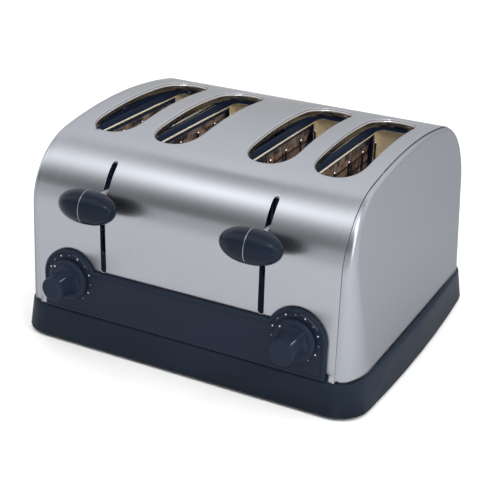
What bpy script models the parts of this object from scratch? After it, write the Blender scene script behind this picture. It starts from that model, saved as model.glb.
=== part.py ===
"""Four-slot pop-up toaster with two lift levers and two dials.

Metres, +Z up. The front, with the levers and dials, faces -Y. The origin is on the surface
that the toaster stands on, below the middle of its outline, handles and crumb tray pull
included. Sizes and places in the functions are measured from the middle of the base, which
lies a little behind the origin.
"""

import math

import bmesh
import bpy
from mathutils import Matrix, Vector

MM = 0.001

# Driving dimensions of the outside
WIDTH = 316.0 * MM
DEPTH = 266.0 * MM
HEIGHT = 176.0 * MM
FOOT_DROP = 3.0 * MM
BASE_HEIGHT = 27.5 * MM
BASE_CORNER = 25.5 * MM
BASE_SIDE_BOW = 3.6 * MM
BASE_SIDE_DRAFT = 4.0 * MM
BASE_FRONT_DRAFT = 0.7 * MM
BASE_EDGE_ROUND = 1.6 * MM
LEDGE = 3.6 * MM
CAP_WIDTH = 17.9 * MM
FRONT_BEND_RADIUS = 58.0 * MM
REAR_BEND_RADIUS = 64.0 * MM
CROWN_RADIUS = 420.0 * MM
CAP_LOW_FILLET = 30.0 * MM
CAP_TOP_FILLET = 5.0 * MM
CAP_CREST = 22.0 * MM
CAP_STEP = 1.2 * MM
CAP_SIDE_BOW = 1.2 * MM
CAP_SIDE_LEAN = 14.0 * MM

# Sheet, walls and clearances
SHEET = 1.0 * MM
MOULDED_WALL = 2.6 * MM
GAP = 0.3 * MM
RUNNING_GAP = 0.8 * MM
OVERRUN = 4.0 * MM

# Bread slots, in two pairs, and the sheet left around them
SLOT_MARGIN = 14.7 * MM
SLOT_BRIDGE = 17.2 * MM
PAIR_BRIDGE = 44.4 * MM
SLOT_FRONT_MARGIN = 5.6 * MM
SLOT_REAR_MARGIN = 10.2 * MM
SLOT_END = 28.0 * MM
SLOT_LIP = 7.5 * MM
SLOT_END_POWER = 2.4

# Lever slots and lift
LEVER_SLOT_WIDTH = 5.0 * MM
LEVER_SLOT_DROP = 20.5 * MM
LEVER_SLOT_SPARE = 3.0 * MM
EXTRA_LIFT = 15.0 * MM

# Control panel, heights above the skirt's bottom edge
PANEL_TOP = 68.0 * MM
PANEL_SETBACK = 6.9 * MM
PANEL_EDGE_ROUND = 1.2 * MM
ARCH_RADIUS = 25.0 * MM

# Dials: a domed skirt and a grip with a ridge that spreads towards the skirt
DIAL_HEIGHT = 57.2 * MM
DIAL_REST = math.radians(40)
SKIRT_RADIUS = 17.2 * MM
SKIRT_THICK = 4.2 * MM
SKIRT_ROUND = 1.6 * MM
GRIP_LENGTH = 19.0 * MM
GRIP_RADIUS = 10.0 * MM
GRIP_EDGE = 1.2 * MM
GRIP_FACE_NOSE = 10.8 * MM
GRIP_FOOT_NOSE = 14.4 * MM
GRIP_FLARE = 3.0 * MM
NOSE_HALF_WIDTH = 0.8 * MM
SHAFT_RADIUS = 3.0 * MM
SHAFT_GRIP = 11.0 * MM
CONTROL_WIDTH = 38.0 * MM
CONTROL_TALL = 36.0 * MM
CONTROL_DEEP = 22.0 * MM
CONTROL_EDGE = 1.2 * MM

# Lever handles
HANDLE_LENGTH = 51.0 * MM
HANDLE_DEPTH = 26.0 * MM
HANDLE_TALL = 30.0 * MM
HANDLE_STANDOFF = 6.5 * MM
HANDLE_SEAM = 0.6 * MM
TONGUE_THICK = 2.4 * MM
TONGUE_TALL = 11.0 * MM
TONGUE_REACH = 19.5 * MM

# Toasting chamber
MECHANISM_DEPTH = 44.2 * MM
REAR_DEPTH = 50.4 * MM
CHAMBER_DROP = 19.0 * MM
BULKHEAD_SETBACK = 5.1 * MM
FLANGE_DEPTH = 15.0 * MM
ARM_SLOT_WIDTH = 5.0 * MM
ARM_SLOT_FOOT = 2.0 * MM
LINER_STEP = 1.4 * MM
LINER_TALL = 34.0 * MM
ELEMENT_THICK = 1.2 * MM
ELEMENT_DROP = 11.0 * MM
ELEMENT_FOOT = 8.0 * MM

# Guard wires
GUARD_INSET = 1.0 * MM
GUARD_WIRE = 1.8 * MM
GUARD_COUNT = 5
GUARD_FRONT = 30.5 * MM
GUARD_REAR = 15.5 * MM
GUARD_DROP = 7.0 * MM
GUARD_FOOT = 4.0 * MM
RAIL_RISE = 3.6 * MM
RAIL_OFFSET_SHARE = 0.72

# Bread racks
RACK_DROP = 69.0 * MM
RACK_LOWEST = 33.0 * MM
RACK_SPINE = 2.0 * MM
RACK_TALL = 6.0 * MM
RACK_CLEARANCE = 4.6 * MM
RACK_BAR = 2.0 * MM
RACK_BAR_INSET = 6.0 * MM
RACK_BARS = 7

# Lift mechanism behind the front
CARRIAGE_PLATE = 1.5 * MM
CROSSBAR_TALL = 20.0 * MM
CROSSBAR_END = 5.0 * MM
MAST_WIDTH = 20.0 * MM
ROD_RADIUS = 2.5 * MM
ROD_OFFSET = 9.5 * MM
ROD_SETBACK = 12.0 * MM
SLEEVE_WALL = 2.6 * MM
SLEEVE_TALL = 26.0 * MM
WEB_THICK = 3.0 * MM
WEB_TALL = 18.0 * MM
SPRING_RADIUS = 3.6 * MM
SPRING_WIRE = 0.9 * MM
SPRING_TURNS = 8
SPRING_TURN_POINTS = 8
SPRING_OFFSET = 16.0 * MM
LATCH_OFFSET = 24.0 * MM
MAGNET_WIDTH = 16.0 * MM
MAGNET_DEEP = 14.0 * MM
MAGNET_TALL = 17.0 * MM
MAGNET_EDGE = 1.2 * MM
KEEPER_WIDTH = 11.0 * MM
KEEPER_DEEP = 9.4 * MM
KEEPER_THICK = 2.0 * MM
KEEPER_SHELF = 8.0 * MM

# Crumb tray, its runners and the windows above it
CRUMB_MARGIN = 40.0 * MM
CRUMB_SETBACK = 35.0 * MM
CRUMB_DEPTH = 10.0 * MM
CRUMB_FLOOR = 9.0 * MM
PULL_REACH = 9.0 * MM
PULL_WIDTH = 70.0 * MM
PULL_DROP = 4.5 * MM
RUNNER_SETBACK = 35.0 * MM
RUNNER_LIP = 6.0 * MM
WINDOW_MARGIN = 6.0 * MM

# Bottom plate, its screws and vents, and the feet
PLATE_RECESS = 1.2 * MM
PLATE_SCREW_RADIUS = 1.9 * MM
PLATE_SCREW_HEAD = 3.8 * MM
PLATE_SCREW_FACE = 3.0 * MM
PLATE_SCREW_INSET_X = 30.0 * MM
PLATE_SCREW_INSET_Y = 37.0 * MM
VENT_WIDTH = 4.8 * MM
VENT_LENGTH = 56.0 * MM
VENT_PITCH = 25.0 * MM
VENT_COLUMNS = 7
VENT_ROW_Y = 37.6 * MM
FOOT_RADIUS = 8.5 * MM
FOOT_NECK = 3.0 * MM
FOOT_HEAD = 4.8 * MM
FOOT_HEAD_TALL = 3.0 * MM
FOOT_INSET_X = 34.0 * MM
FOOT_INSET_Y = 55.0 * MM

# Cord gland in the back and the terminal block inside it
GLAND_SETBACK = 40.5 * MM
GLAND_HEIGHT = 46.0 * MM
GLAND_RADIUS = 8.5 * MM
GLAND_FLANGE = 2.0 * MM
GLAND_NECK = 6.0 * MM
GLAND_BORE = 3.9 * MM
GLAND_REACH = 7.0 * MM
TERMINAL_WIDTH = 34.0 * MM
TERMINAL_DEEP = 14.0 * MM
TERMINAL_TALL = 16.0 * MM
TERMINAL_STANDOFF = 2.9 * MM
TERMINAL_WELL = 1.9 * MM
TERMINAL_PITCH = 10.2 * MM

# Levels and planes that follow from the dimensions above
SKIRT_Z = FOOT_DROP
DECK_Z = SKIRT_Z + BASE_HEIGHT
UNDER_DECK_Z = DECK_Z - MOULDED_WALL
TOP_Z = SKIRT_Z + HEIGHT
FLOOR_Z = DECK_Z + GAP
BASE_TOP_HALF_DEPTH = DEPTH / 2 - BASE_FRONT_DRAFT
BASE_TOP_HALF_WIDTH = WIDTH / 2 - BASE_SIDE_DRAFT
WRAPPER_FRONT = BASE_TOP_HALF_DEPTH - LEDGE
CAP_SIDE = BASE_TOP_HALF_WIDTH - LEDGE
WRAPPER_EDGE = CAP_SIDE - CAP_WIDTH
PANEL_FRONT = BASE_TOP_HALF_DEPTH
PANEL_HALF_WIDTH = WRAPPER_EDGE - PANEL_SETBACK
DIAL_X = PANEL_HALF_WIDTH - ARCH_RADIUS
DIAL_Z = SKIRT_Z + DIAL_HEIGHT
LEVER_SLOT_LOW = SKIRT_Z + PANEL_TOP + RUNNING_GAP
LEVER_SLOT_HIGH = TOP_Z - LEVER_SLOT_DROP
HANDLE_Z = LEVER_SLOT_HIGH - LEVER_SLOT_SPARE - EXTRA_LIFT - TONGUE_TALL / 2
HANDLE_Y = -(WRAPPER_FRONT + HANDLE_STANDOFF + HANDLE_DEPTH / 2)
CHAMBER_TOP_Z = TOP_Z - CHAMBER_DROP
CHAMBER_FRONT = MECHANISM_DEPTH - WRAPPER_FRONT
CHAMBER_REAR = WRAPPER_FRONT - REAR_DEPTH
SLOT_LENGTH = CHAMBER_REAR - CHAMBER_FRONT - SLOT_FRONT_MARGIN - SLOT_REAR_MARGIN
SLOT_CENTRE_Y = CHAMBER_FRONT + SLOT_FRONT_MARGIN + SLOT_LENGTH / 2
SLOT_WIDTH = (WRAPPER_EDGE - SLOT_MARGIN - SLOT_BRIDGE - PAIR_BRIDGE / 2) / 2
SLOT_PITCH = SLOT_WIDTH + SLOT_BRIDGE
PAIR_CENTRE = PAIR_BRIDGE / 2 + SLOT_WIDTH + SLOT_BRIDGE / 2
LINER_HALF_WIDTH = SLOT_WIDTH / 2 + LINER_STEP
BULKHEAD_HALF_WIDTH = WRAPPER_EDGE - BULKHEAD_SETBACK
GUARD_HALF_WIDTH = SLOT_WIDTH / 2 - GUARD_INSET
GUARD_PITCH = (CHAMBER_REAR - CHAMBER_FRONT - GUARD_FRONT - GUARD_REAR) / (GUARD_COUNT - 1)
RACK_Z = CHAMBER_TOP_Z - RACK_DROP
RACK_HALF_WIDTH = GUARD_HALF_WIDTH - RACK_CLEARANCE
LIFT_TRAVEL = RACK_Z - SKIRT_Z - RACK_LOWEST
ROD_Y = CHAMBER_FRONT - ROD_SETBACK
CROSSBAR_Z = RACK_Z - RACK_TALL / 2
CARRIAGE_BACK = CHAMBER_FRONT - SHEET - RUNNING_GAP
CARRIAGE_FRONT = CARRIAGE_BACK - CARRIAGE_PLATE
CARRIAGE_MIDDLE = CARRIAGE_BACK - CARRIAGE_PLATE / 2
MAST_TOP = HANDLE_Z + TONGUE_TALL / 2
CRUMB_Z = SKIRT_Z + CRUMB_FLOOR
CRUMB_REAR = BASE_TOP_HALF_DEPTH + GAP
CRUMB_WIDTH = WIDTH - CRUMB_MARGIN * 2
CRUMB_LENGTH = DEPTH - CRUMB_SETBACK
RUNNER_LENGTH = CRUMB_LENGTH - RUNNER_SETBACK
PLATE_Z = SKIRT_Z + PLATE_RECESS
PLATE_SCREW_X = WIDTH / 2 - PLATE_SCREW_INSET_X
PLATE_SCREW_Y = DEPTH / 2 - PLATE_SCREW_INSET_Y
FOOT_X = WIDTH / 2 - FOOT_INSET_X
FOOT_Y = DEPTH / 2 - FOOT_INSET_Y
GLAND_X = GLAND_SETBACK - WRAPPER_EDGE
SLOT_CENTRES = (
    -PAIR_CENTRE - SLOT_PITCH / 2,
    -PAIR_CENTRE + SLOT_PITCH / 2,
    PAIR_CENTRE - SLOT_PITCH / 2,
    PAIR_CENTRE + SLOT_PITCH / 2,
)
SIDES = (("left", -1), ("right", 1))

# The outline's ends, and the middle of the base as seen from the origin between them
OUTLINE_FRONT = HANDLE_Y - HANDLE_DEPTH / 2
OUTLINE_REAR = CRUMB_REAR + PULL_REACH
BASE_MIDDLE_Y = -(OUTLINE_FRONT + OUTLINE_REAR) / 2

ROUND_SEGMENTS = 24
FACE_FORWARD = (math.radians(90), 0, 0)
FACE_BACKWARD = (math.radians(-90), 0, 0)
FACE_SIDEWAYS = (math.radians(90), 0, math.radians(90))


def clear_scene():
    for old in list(bpy.data.objects):
        bpy.data.objects.remove(old, do_unlink=True)


def collection(name):
    group = bpy.data.collections.new(name)
    bpy.context.scene.collection.children.link(group)
    return group


def finish(name, colour, roughness, metallic):
    """A plain Principled material."""
    material = bpy.data.materials.new(name)
    material.use_nodes = True
    shader = material.node_tree.nodes["Principled BSDF"]
    shader.inputs["Base Color"].default_value = (*colour, 1)
    shader.inputs["Roughness"].default_value = roughness
    shader.inputs["Metallic"].default_value = metallic
    return material


def pivot(name, where, parent=None):
    """An empty that carries pieces, such as those of a joint, on the joint's axis."""
    empty = bpy.data.objects.new(name, None)
    PARTS.objects.link(empty)
    empty.parent = parent
    empty.location = where
    return empty


clear_scene()
PARTS = collection("toaster")
CUTTERS = collection("cutters")
MIDDLE = pivot("base_middle", (0, BASE_MIDDLE_Y, 0))

STAINLESS = finish("brushed_stainless", (0.42, 0.43, 0.46), 0.32, 1.0)
PLASTIC = finish("blue_black_plastic", (0.020, 0.025, 0.037), 0.42, 0.0)
GLOSSY_PLASTIC = finish("handle_plastic", (0.012, 0.016, 0.024), 0.28, 0.0)
RUBBER = finish("rubber", (0.02, 0.02, 0.02), 0.8, 0.0)
PLATED = finish("plated_steel", (0.45, 0.44, 0.40), 0.35, 1.0)
GOLDEN = finish("heat_tinted_liner", (0.36, 0.28, 0.15), 0.35, 1.0)
WIRE = finish("bright_wire", (0.55, 0.55, 0.55), 0.25, 1.0)
MICA = finish("mica_card", (0.34, 0.25, 0.19), 0.6, 0.0)
COIL = finish("magnet_coil", (0.35, 0.12, 0.05), 0.5, 0.0)
CERAMIC = finish("ceramic", (0.70, 0.68, 0.62), 0.5, 0.0)


def place(name, mesh, material, where=(0, 0, 0), turn=(0, 0, 0), axis=None):
    """Put a mesh in the toaster's collection as a named sub-part, carried by a joint's axis if given."""
    piece = bpy.data.objects.new(name, mesh)
    PARTS.objects.link(piece)
    piece.rotation_euler = turn
    piece.data.materials.clear()
    piece.data.materials.append(material)
    piece.parent = axis or MIDDLE
    piece.location = Vector(where) - (axis.location if axis else Vector())
    return piece


def cutter(name, mesh, where=(0, 0, 0), turn=(0, 0, 0)):
    """Put a mesh among the cutters, where nothing renders."""
    tool = bpy.data.objects.new(name, mesh)
    CUTTERS.objects.link(tool)
    tool.parent = MIDDLE
    tool.location = where
    tool.rotation_euler = turn
    tool.hide_render = True
    tool.display_type = "WIRE"
    return tool


def boolean(piece, tool, operation):
    modifier = piece.modifiers.new(f"{operation.lower()}_{tool.name}", "BOOLEAN")
    modifier.operation = operation
    modifier.object = tool
    return piece


def cut(piece, tool):
    return boolean(piece, tool, "DIFFERENCE")


def join(piece, tool):
    return boolean(piece, tool, "UNION")


def bevel(piece, width, segments=2, angle=50):
    modifier = piece.modifiers.new("rounded_edges", "BEVEL")
    modifier.width = width
    modifier.segments = segments
    modifier.limit_method = "ANGLE"
    modifier.angle_limit = math.radians(angle)
    return piece


def thicken(piece):
    """Give an open surface the sheet's thickness, on its inner side."""
    modifier = piece.modifiers.new("sheet_thickness", "SOLIDIFY")
    modifier.thickness = SHEET
    modifier.offset = -1
    modifier.use_even_offset = True
    return piece


def smooth(mesh, angle=40):
    mesh.shade_smooth()
    mesh.set_sharp_from_angle(angle=math.radians(angle))
    return mesh


def mesh_from(shape, name):
    mesh = bpy.data.meshes.new(name)
    bmesh.ops.recalc_face_normals(shape, faces=shape.faces)
    shape.to_mesh(mesh)
    shape.free()
    return mesh


def boxes_mesh(name, boxes):
    """Boxes between pairs of opposite corners, in one mesh. They don't touch each other."""
    shape = bmesh.new()
    for low, high in boxes:
        size = Matrix.Diagonal((*(Vector(high) - Vector(low)), 1))
        centre = Matrix.Translation((Vector(high) + Vector(low)) / 2)
        bmesh.ops.create_cube(shape, size=1, matrix=centre @ size)
    return mesh_from(shape, name)


def box_mesh(name, low, high):
    return boxes_mesh(name, [(low, high)])


def rods_mesh(name, rods, segments=ROUND_SEGMENTS):
    """Round bars, each a radius and two ends, in one mesh. They don't touch each other."""
    shape = bmesh.new()
    for radius, start, end in rods:
        line = Vector(end) - Vector(start)
        turn = line.to_track_quat("Z", "Y").to_matrix().to_4x4()
        middle = Matrix.Translation((Vector(start) + Vector(end)) / 2)
        bmesh.ops.create_cone(shape, cap_ends=True, segments=segments, radius1=radius, radius2=radius,
                              depth=line.length, matrix=middle @ turn)
    return smooth(mesh_from(shape, name))


def rod_mesh(name, radius, start, end, segments=ROUND_SEGMENTS):
    return rods_mesh(name, [(radius, start, end)], segments)


def mirrored_boxes(name, near_x, far_x, low_y, high_y, low_z, high_z):
    """The same box on the left and on the right."""
    boxes = []
    for _, side in SIDES:
        left, right = sorted((side * near_x, side * far_x))
        boxes.append(((left, low_y, low_z), (right, high_y, high_z)))
    return boxes_mesh(name, boxes)


def curve_mesh(name, curve):
    """The welded mesh of a curve."""
    guide = bpy.data.objects.new(name, curve)
    CUTTERS.objects.link(guide)
    bpy.context.view_layer.update()
    evaluated = guide.evaluated_get(bpy.context.evaluated_depsgraph_get())
    mesh = bpy.data.meshes.new_from_object(evaluated)
    mesh.name = name
    bpy.data.objects.remove(guide, do_unlink=True)
    shape = bmesh.new()
    shape.from_mesh(mesh)
    bmesh.ops.remove_doubles(shape, verts=shape.verts, dist=0.01 * MM)
    shape.to_mesh(mesh)
    shape.free()
    return mesh


def plate_mesh(name, outlines, thickness):
    """Flat outlines in the XY plane, filled and extruded evenly about that plane."""
    curve = bpy.data.curves.new(name, "CURVE")
    curve.dimensions = "2D"
    curve.fill_mode = "BOTH"
    curve.extrude = thickness / 2
    for outline in outlines:
        spline = curve.splines.new("POLY")
        spline.points.add(len(outline) - 1)
        for point, (x, y) in zip(spline.points, outline):
            point.co = (x, y, 0, 1)
        spline.use_cyclic_u = True
    return curve_mesh(name, curve)


def wire_mesh(name, radius, paths, resolution=1):
    """Round wires along lists of points, in one mesh."""
    curve = bpy.data.curves.new(name, "CURVE")
    curve.dimensions = "3D"
    curve.bevel_depth = radius
    curve.bevel_resolution = resolution
    curve.use_fill_caps = True
    for path in paths:
        spline = curve.splines.new("POLY")
        spline.points.add(len(path) - 1)
        for point, where in zip(spline.points, path):
            point.co = (*where, 1)
    return smooth(curve_mesh(name, curve), angle=60)


def loft_mesh(name, rings):
    """A closed skin through rings that have the same number of points."""
    shape = bmesh.new()
    rows = [[shape.verts.new(point) for point in ring] for ring in rings]
    count = len(rows[0])
    for near, far in zip(rows, rows[1:]):
        for i in range(count):
            j = (i + 1) % count
            shape.faces.new((near[i], near[j], far[j], far[i]))
    shape.faces.new(rows[0])
    shape.faces.new(rows[-1])
    return mesh_from(shape, name)


def turned(name, profile, material, where, turn=(0, 0, 0), axis=None, segments=ROUND_SEGMENTS):
    """A profile of (radius, height) points, turned about Z. One that starts off the axis is a ring."""
    shape = bmesh.new()
    verts = [shape.verts.new((radius, 0, height)) for radius, height in profile]
    for first, second in zip(verts, verts[1:]):
        shape.edges.new((first, second))
    if profile[0][0] > 0:
        shape.edges.new((verts[-1], verts[0]))
    mesh = bpy.data.meshes.new(name)
    shape.to_mesh(mesh)
    shape.free()
    piece = place(name, mesh, material, where, turn, axis)
    screw = piece.modifiers.new("turned", "SCREW")
    screw.steps = segments
    screw.render_steps = segments
    screw.use_merge_vertices = True
    screw.merge_threshold = 0.01 * MM
    return piece


def arc(centre, radius, start, end, steps):
    """Points on an arc, with angles in degrees."""
    points = []
    for step in range(steps + 1):
        angle = math.radians(start + (end - start) * step / steps)
        points.append((centre[0] + radius * math.cos(angle), centre[1] + radius * math.sin(angle)))
    return points


def circle(centre, radius, steps=ROUND_SEGMENTS):
    return arc(centre, radius, 0, 360, steps)[:-1]


def stadium(centre_x, low, high, width, steps=8):
    """An upright slot with round ends."""
    radius = width / 2
    top = arc((centre_x, high - radius), radius, 0, 180, steps)
    bottom = arc((centre_x, low + radius), radius, 180, 360, steps)
    return top + bottom


def base_outline(inset, draft_x=0.0, draft_y=0.0, steps=5, side_steps=6):
    """The base's plan, less an even inset: straight front and back, bowed sides, round corners."""
    half_width = WIDTH / 2 - draft_x - inset
    half_depth = DEPTH / 2 - draft_y - inset
    corner = BASE_CORNER - inset
    corner_x = half_width - BASE_SIDE_BOW - corner
    corner_y = half_depth - corner
    front = arc((corner_x, -corner_y), corner, -90, 0, steps)
    side = []
    for step in range(1, side_steps):
        y = -corner_y + 2 * corner_y * step / side_steps
        side.append((half_width - BASE_SIDE_BOW * (y / corner_y) ** 2, y))
    back = arc((corner_x, corner_y), corner, 0, 90, steps)
    half = front + side + back
    return half + [(-x, y) for x, y in reversed(half)]


def rim_outline(inset):
    """The base's plan at its top rim, where the draft has drawn it in."""
    return base_outline(inset, BASE_SIDE_DRAFT, BASE_FRONT_DRAFT)


def crown_drop(y):
    """How far the crowned top has fallen at a distance from the middle."""
    return CROWN_RADIUS - math.sqrt(CROWN_RADIUS ** 2 - y ** 2)


def bend_points(radius, inset, steps):
    """A bend from an upright face at the front into the crown, and the crown's tilt where they meet."""
    centre_y = WRAPPER_FRONT - radius
    rise = math.sqrt((CROWN_RADIUS - radius) ** 2 - centre_y ** 2)
    tilt = math.degrees(math.atan2(centre_y, rise))
    return arc((-centre_y, TOP_Z - CROWN_RADIUS + rise), radius - inset, 180, 90 + tilt, steps), tilt


def body_profile(inset, bottom, bend_steps=8, crown_steps=10):
    """The wrapper's section in (y, z), from the front's foot over the top to the back's foot."""
    front, front_tilt = bend_points(FRONT_BEND_RADIUS, inset, bend_steps)
    rear, rear_tilt = bend_points(REAR_BEND_RADIUS, inset, bend_steps)
    crown_centre = (0, TOP_Z - CROWN_RADIUS)
    crown = arc(crown_centre, CROWN_RADIUS - inset, 90 + front_tilt, 90 - rear_tilt, crown_steps)[1:-1]
    back = [(-y, z) for y, z in reversed(rear)]
    foot = WRAPPER_FRONT - inset
    return [(-foot, bottom)] + front + crown + back + [(foot, bottom)]


def slot_outline(centre_x, grow=0.0, steps=6):
    """A bread slot's outline: straight sides and fuller-than-elliptic ends."""
    half = SLOT_WIDTH / 2 + grow
    reach = SLOT_LENGTH / 2 + grow
    end = SLOT_END + grow
    power = 2 / SLOT_END_POWER
    quarter = []
    for step in range(steps + 1):
        angle = math.radians(90 * step / steps)
        across = half * math.cos(angle) ** power if step < steps else 0.0
        along = reach - end + end * math.sin(angle) ** power
        quarter.append((across, along))
    back = quarter + [(-x, y) for x, y in reversed(quarter[:-1])]
    front = [(-x, -y) for x, y in back]
    return [(centre_x + x, SLOT_CENTRE_Y + y) for x, y in back + front]


def plate_screw_places():
    return [(x, y) for x in (-PLATE_SCREW_X, PLATE_SCREW_X) for y in (-PLATE_SCREW_Y, PLATE_SCREW_Y)]


def foot_places():
    return [("front_left", -FOOT_X, -FOOT_Y), ("front_right", FOOT_X, -FOOT_Y),
            ("rear_left", -FOOT_X, FOOT_Y), ("rear_right", FOOT_X, FOOT_Y)]


def base_tray():
    """Moulded base: a drafted skirt below a deck."""
    rings = [
        [(x, y, SKIRT_Z) for x, y in base_outline(0)],
        [(x, y, DECK_Z - BASE_EDGE_ROUND) for x, y in rim_outline(0)],
        [(x, y, DECK_Z) for x, y in rim_outline(BASE_EDGE_ROUND)],
    ]
    tray = place("base_tray", smooth(loft_mesh("base_tray", rings), 30), PLASTIC)
    hollow = rim_outline(MOULDED_WALL)
    rings = [[(x, y, z) for x, y in hollow] for z in (SKIRT_Z - OVERRUN, UNDER_DECK_Z)]
    cut(tray, cutter("base_hollow", loft_mesh("base_hollow", rings)))
    base_openings(tray)
    base_runners(tray)
    base_bosses(tray)
    return tray


def base_openings(tray):
    """Two windows in the deck for the crumbs, and the crumb tray's mouth in the back."""
    reach = CRUMB_WIDTH / 2 - SHEET * 2
    windows = mirrored_boxes("crumb_windows", MOULDED_WALL, reach, CHAMBER_FRONT + WINDOW_MARGIN,
                             CHAMBER_REAR - WINDOW_MARGIN, UNDER_DECK_Z - OVERRUN, DECK_Z + OVERRUN)
    cut(tray, cutter("crumb_windows", windows))
    half = CRUMB_WIDTH / 2 + RUNNING_GAP
    low = (-half, DEPTH / 2 - BASE_CORNER, CRUMB_Z - RUNNING_GAP)
    high = (half, DEPTH / 2 + OVERRUN, CRUMB_Z + CRUMB_DEPTH + RUNNING_GAP)
    cut(tray, cutter("crumb_mouth", box_mesh("crumb_mouth", low, high)))


def base_runners(tray):
    """A wall beside each long side of the crumb tray, with a shelf that carries it."""
    near = CRUMB_WIDTH / 2 + RUNNING_GAP
    far = near + MOULDED_WALL
    ends = (-RUNNER_LENGTH / 2, RUNNER_LENGTH / 2)
    shelf_top = CRUMB_Z - GAP
    shelves = mirrored_boxes("runner_shelves", CRUMB_WIDTH / 2 - RUNNER_LIP, far, *ends,
                             shelf_top - MOULDED_WALL, shelf_top)
    join(tray, cutter("runner_shelves", shelves))
    walls = mirrored_boxes("runner_walls", near, far, *ends, shelf_top - MOULDED_WALL / 2,
                           UNDER_DECK_Z + MOULDED_WALL / 2)
    join(tray, cutter("runner_walls", walls))


def base_bosses(tray):
    """Bosses below the deck for the bottom plate's screws."""
    boss_foot = PLATE_Z + SHEET + GAP
    bosses = []
    pilots = []
    for x, y in plate_screw_places():
        bosses.append((PLATE_SCREW_HEAD, (x, y, boss_foot), (x, y, UNDER_DECK_Z + MOULDED_WALL / 2)))
        pilots.append((PLATE_SCREW_RADIUS + GAP, (x, y, boss_foot - OVERRUN), (x, y, UNDER_DECK_Z)))
    join(tray, cutter("screw_bosses", rods_mesh("screw_bosses", bosses, 12)))
    cut(tray, cutter("screw_pilots", rods_mesh("screw_pilots", pilots, 8)))


def bottom_plate():
    """Sheet that closes the base from below, with vent slots, screw holes and foot holes."""
    middle = PLATE_Z + SHEET / 2
    sheet = plate_mesh("bottom_plate", [rim_outline(MOULDED_WALL + GAP)], SHEET)
    plate = place("bottom_plate", sheet, PLATED, (0, 0, middle))
    below = middle - OVERRUN
    above = middle + OVERRUN
    holes = [(PLATE_SCREW_RADIUS + GAP, (x, y, below), (x, y, above)) for x, y in plate_screw_places()]
    holes += [(FOOT_NECK + GAP, (x, y, below), (x, y, above)) for _, x, y in foot_places()]
    cut(plate, cutter("plate_holes", rods_mesh("plate_holes", holes, 10)))
    vents = []
    for column in range(VENT_COLUMNS):
        x = (column - (VENT_COLUMNS - 1) / 2) * VENT_PITCH
        for y in (-VENT_ROW_Y, VENT_ROW_Y):
            vents.append(((x - VENT_WIDTH / 2, y - VENT_LENGTH / 2, below),
                          (x + VENT_WIDTH / 2, y + VENT_LENGTH / 2, above)))
    cut(plate, cutter("plate_vents", boxes_mesh("plate_vents", vents)))
    return plate


def plate_screws():
    """Screws that hold the bottom plate to the base's bosses."""
    head_top = PLATE_Z - GAP
    tip = UNDER_DECK_Z - OVERRUN
    profile = [(0, tip), (PLATE_SCREW_RADIUS, tip), (PLATE_SCREW_RADIUS, head_top),
               (PLATE_SCREW_HEAD, head_top), (PLATE_SCREW_FACE, SKIRT_Z), (0, SKIRT_Z)]
    for number, (x, y) in enumerate(plate_screw_places(), 1):
        turned(f"plate_screw_{number}", profile, PLATED, (x, y, 0), segments=10)


def feet():
    """Rubber feet, each with a neck through the bottom plate and a head that holds it there."""
    head = PLATE_Z + SHEET + GAP
    pad = PLATE_Z - GAP
    profile = [(0, head + FOOT_HEAD_TALL), (FOOT_NECK, head + FOOT_HEAD_TALL), (FOOT_HEAD, head),
               (FOOT_NECK, head), (FOOT_NECK, pad), (FOOT_RADIUS, pad), (FOOT_RADIUS, GAP),
               (FOOT_RADIUS - GAP, 0), (0, 0)]
    for name, x, y in foot_places():
        turned(f"foot_{name}", profile, RUBBER, (x, y, 0), segments=12)


def crumb_tray():
    """Shallow sheet drawer that slides out of the back of the base, with a turned-down pull."""
    axis = pivot("crumb_tray_slide", (0, CRUMB_REAR, CRUMB_Z), MIDDLE)
    half = CRUMB_WIDTH / 2
    front = CRUMB_REAR - CRUMB_LENGTH
    high = CRUMB_Z + CRUMB_DEPTH
    pan = box_mesh("crumb_tray", (-half, front, CRUMB_Z), (half, CRUMB_REAR + SHEET, high))
    tray = place("crumb_tray", pan, PLATED, axis=axis)
    inside = box_mesh("crumb_inside", (-half + SHEET, front + SHEET, CRUMB_Z + SHEET),
                      (half - SHEET, CRUMB_REAR, high + OVERRUN))
    cut(tray, cutter("crumb_inside", inside))
    pull_half = PULL_WIDTH / 2
    pull_end = CRUMB_REAR + PULL_REACH
    shelf = box_mesh("crumb_pull", (-pull_half, CRUMB_REAR + SHEET / 2, high - SHEET * 2),
                     (pull_half, pull_end - SHEET / 2, high - SHEET))
    join(tray, cutter("crumb_pull", shelf))
    edge = box_mesh("crumb_pull_edge", (-pull_half, pull_end - SHEET, high - PULL_DROP),
                    (pull_half, pull_end, high - SHEET))
    join(tray, cutter("crumb_pull_edge", edge))
    return tray


def body_block(name, inset):
    """The solid below the wrapper's surface, less an even inset."""
    mesh = plate_mesh(name, [body_profile(inset, DECK_Z)], (WRAPPER_EDGE - SHEET) * 2)
    return cutter(name, mesh, turn=FACE_SIDEWAYS)


def wrapper():
    """The bent stainless sheet: front, crowned top with four flanged slots, and back."""
    curve = bpy.data.curves.new("wrapper", "CURVE")
    curve.dimensions = "2D"
    curve.fill_mode = "NONE"
    curve.extrude = WRAPPER_EDGE
    points = body_profile(0, FLOOR_Z)
    spline = curve.splines.new("POLY")
    spline.points.add(len(points) - 1)
    for point, (y, z) in zip(spline.points, points):
        point.co = (y, z, 0, 1)
    sheet = place("wrapper", smooth(curve_mesh("wrapper", curve), 30), STAINLESS, turn=FACE_SIDEWAYS)
    thicken(sheet)
    flanged_slots(sheet)
    front_openings(sheet)
    gland = circle((GLAND_X, SKIRT_Z + GLAND_HEIGHT), GLAND_NECK + GAP, 16)
    hole = plate_mesh("gland_hole", [gland], OVERRUN * 2)
    return cut(sheet, cutter("gland_hole", hole, (0, WRAPPER_FRONT, 0), FACE_FORWARD))


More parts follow.
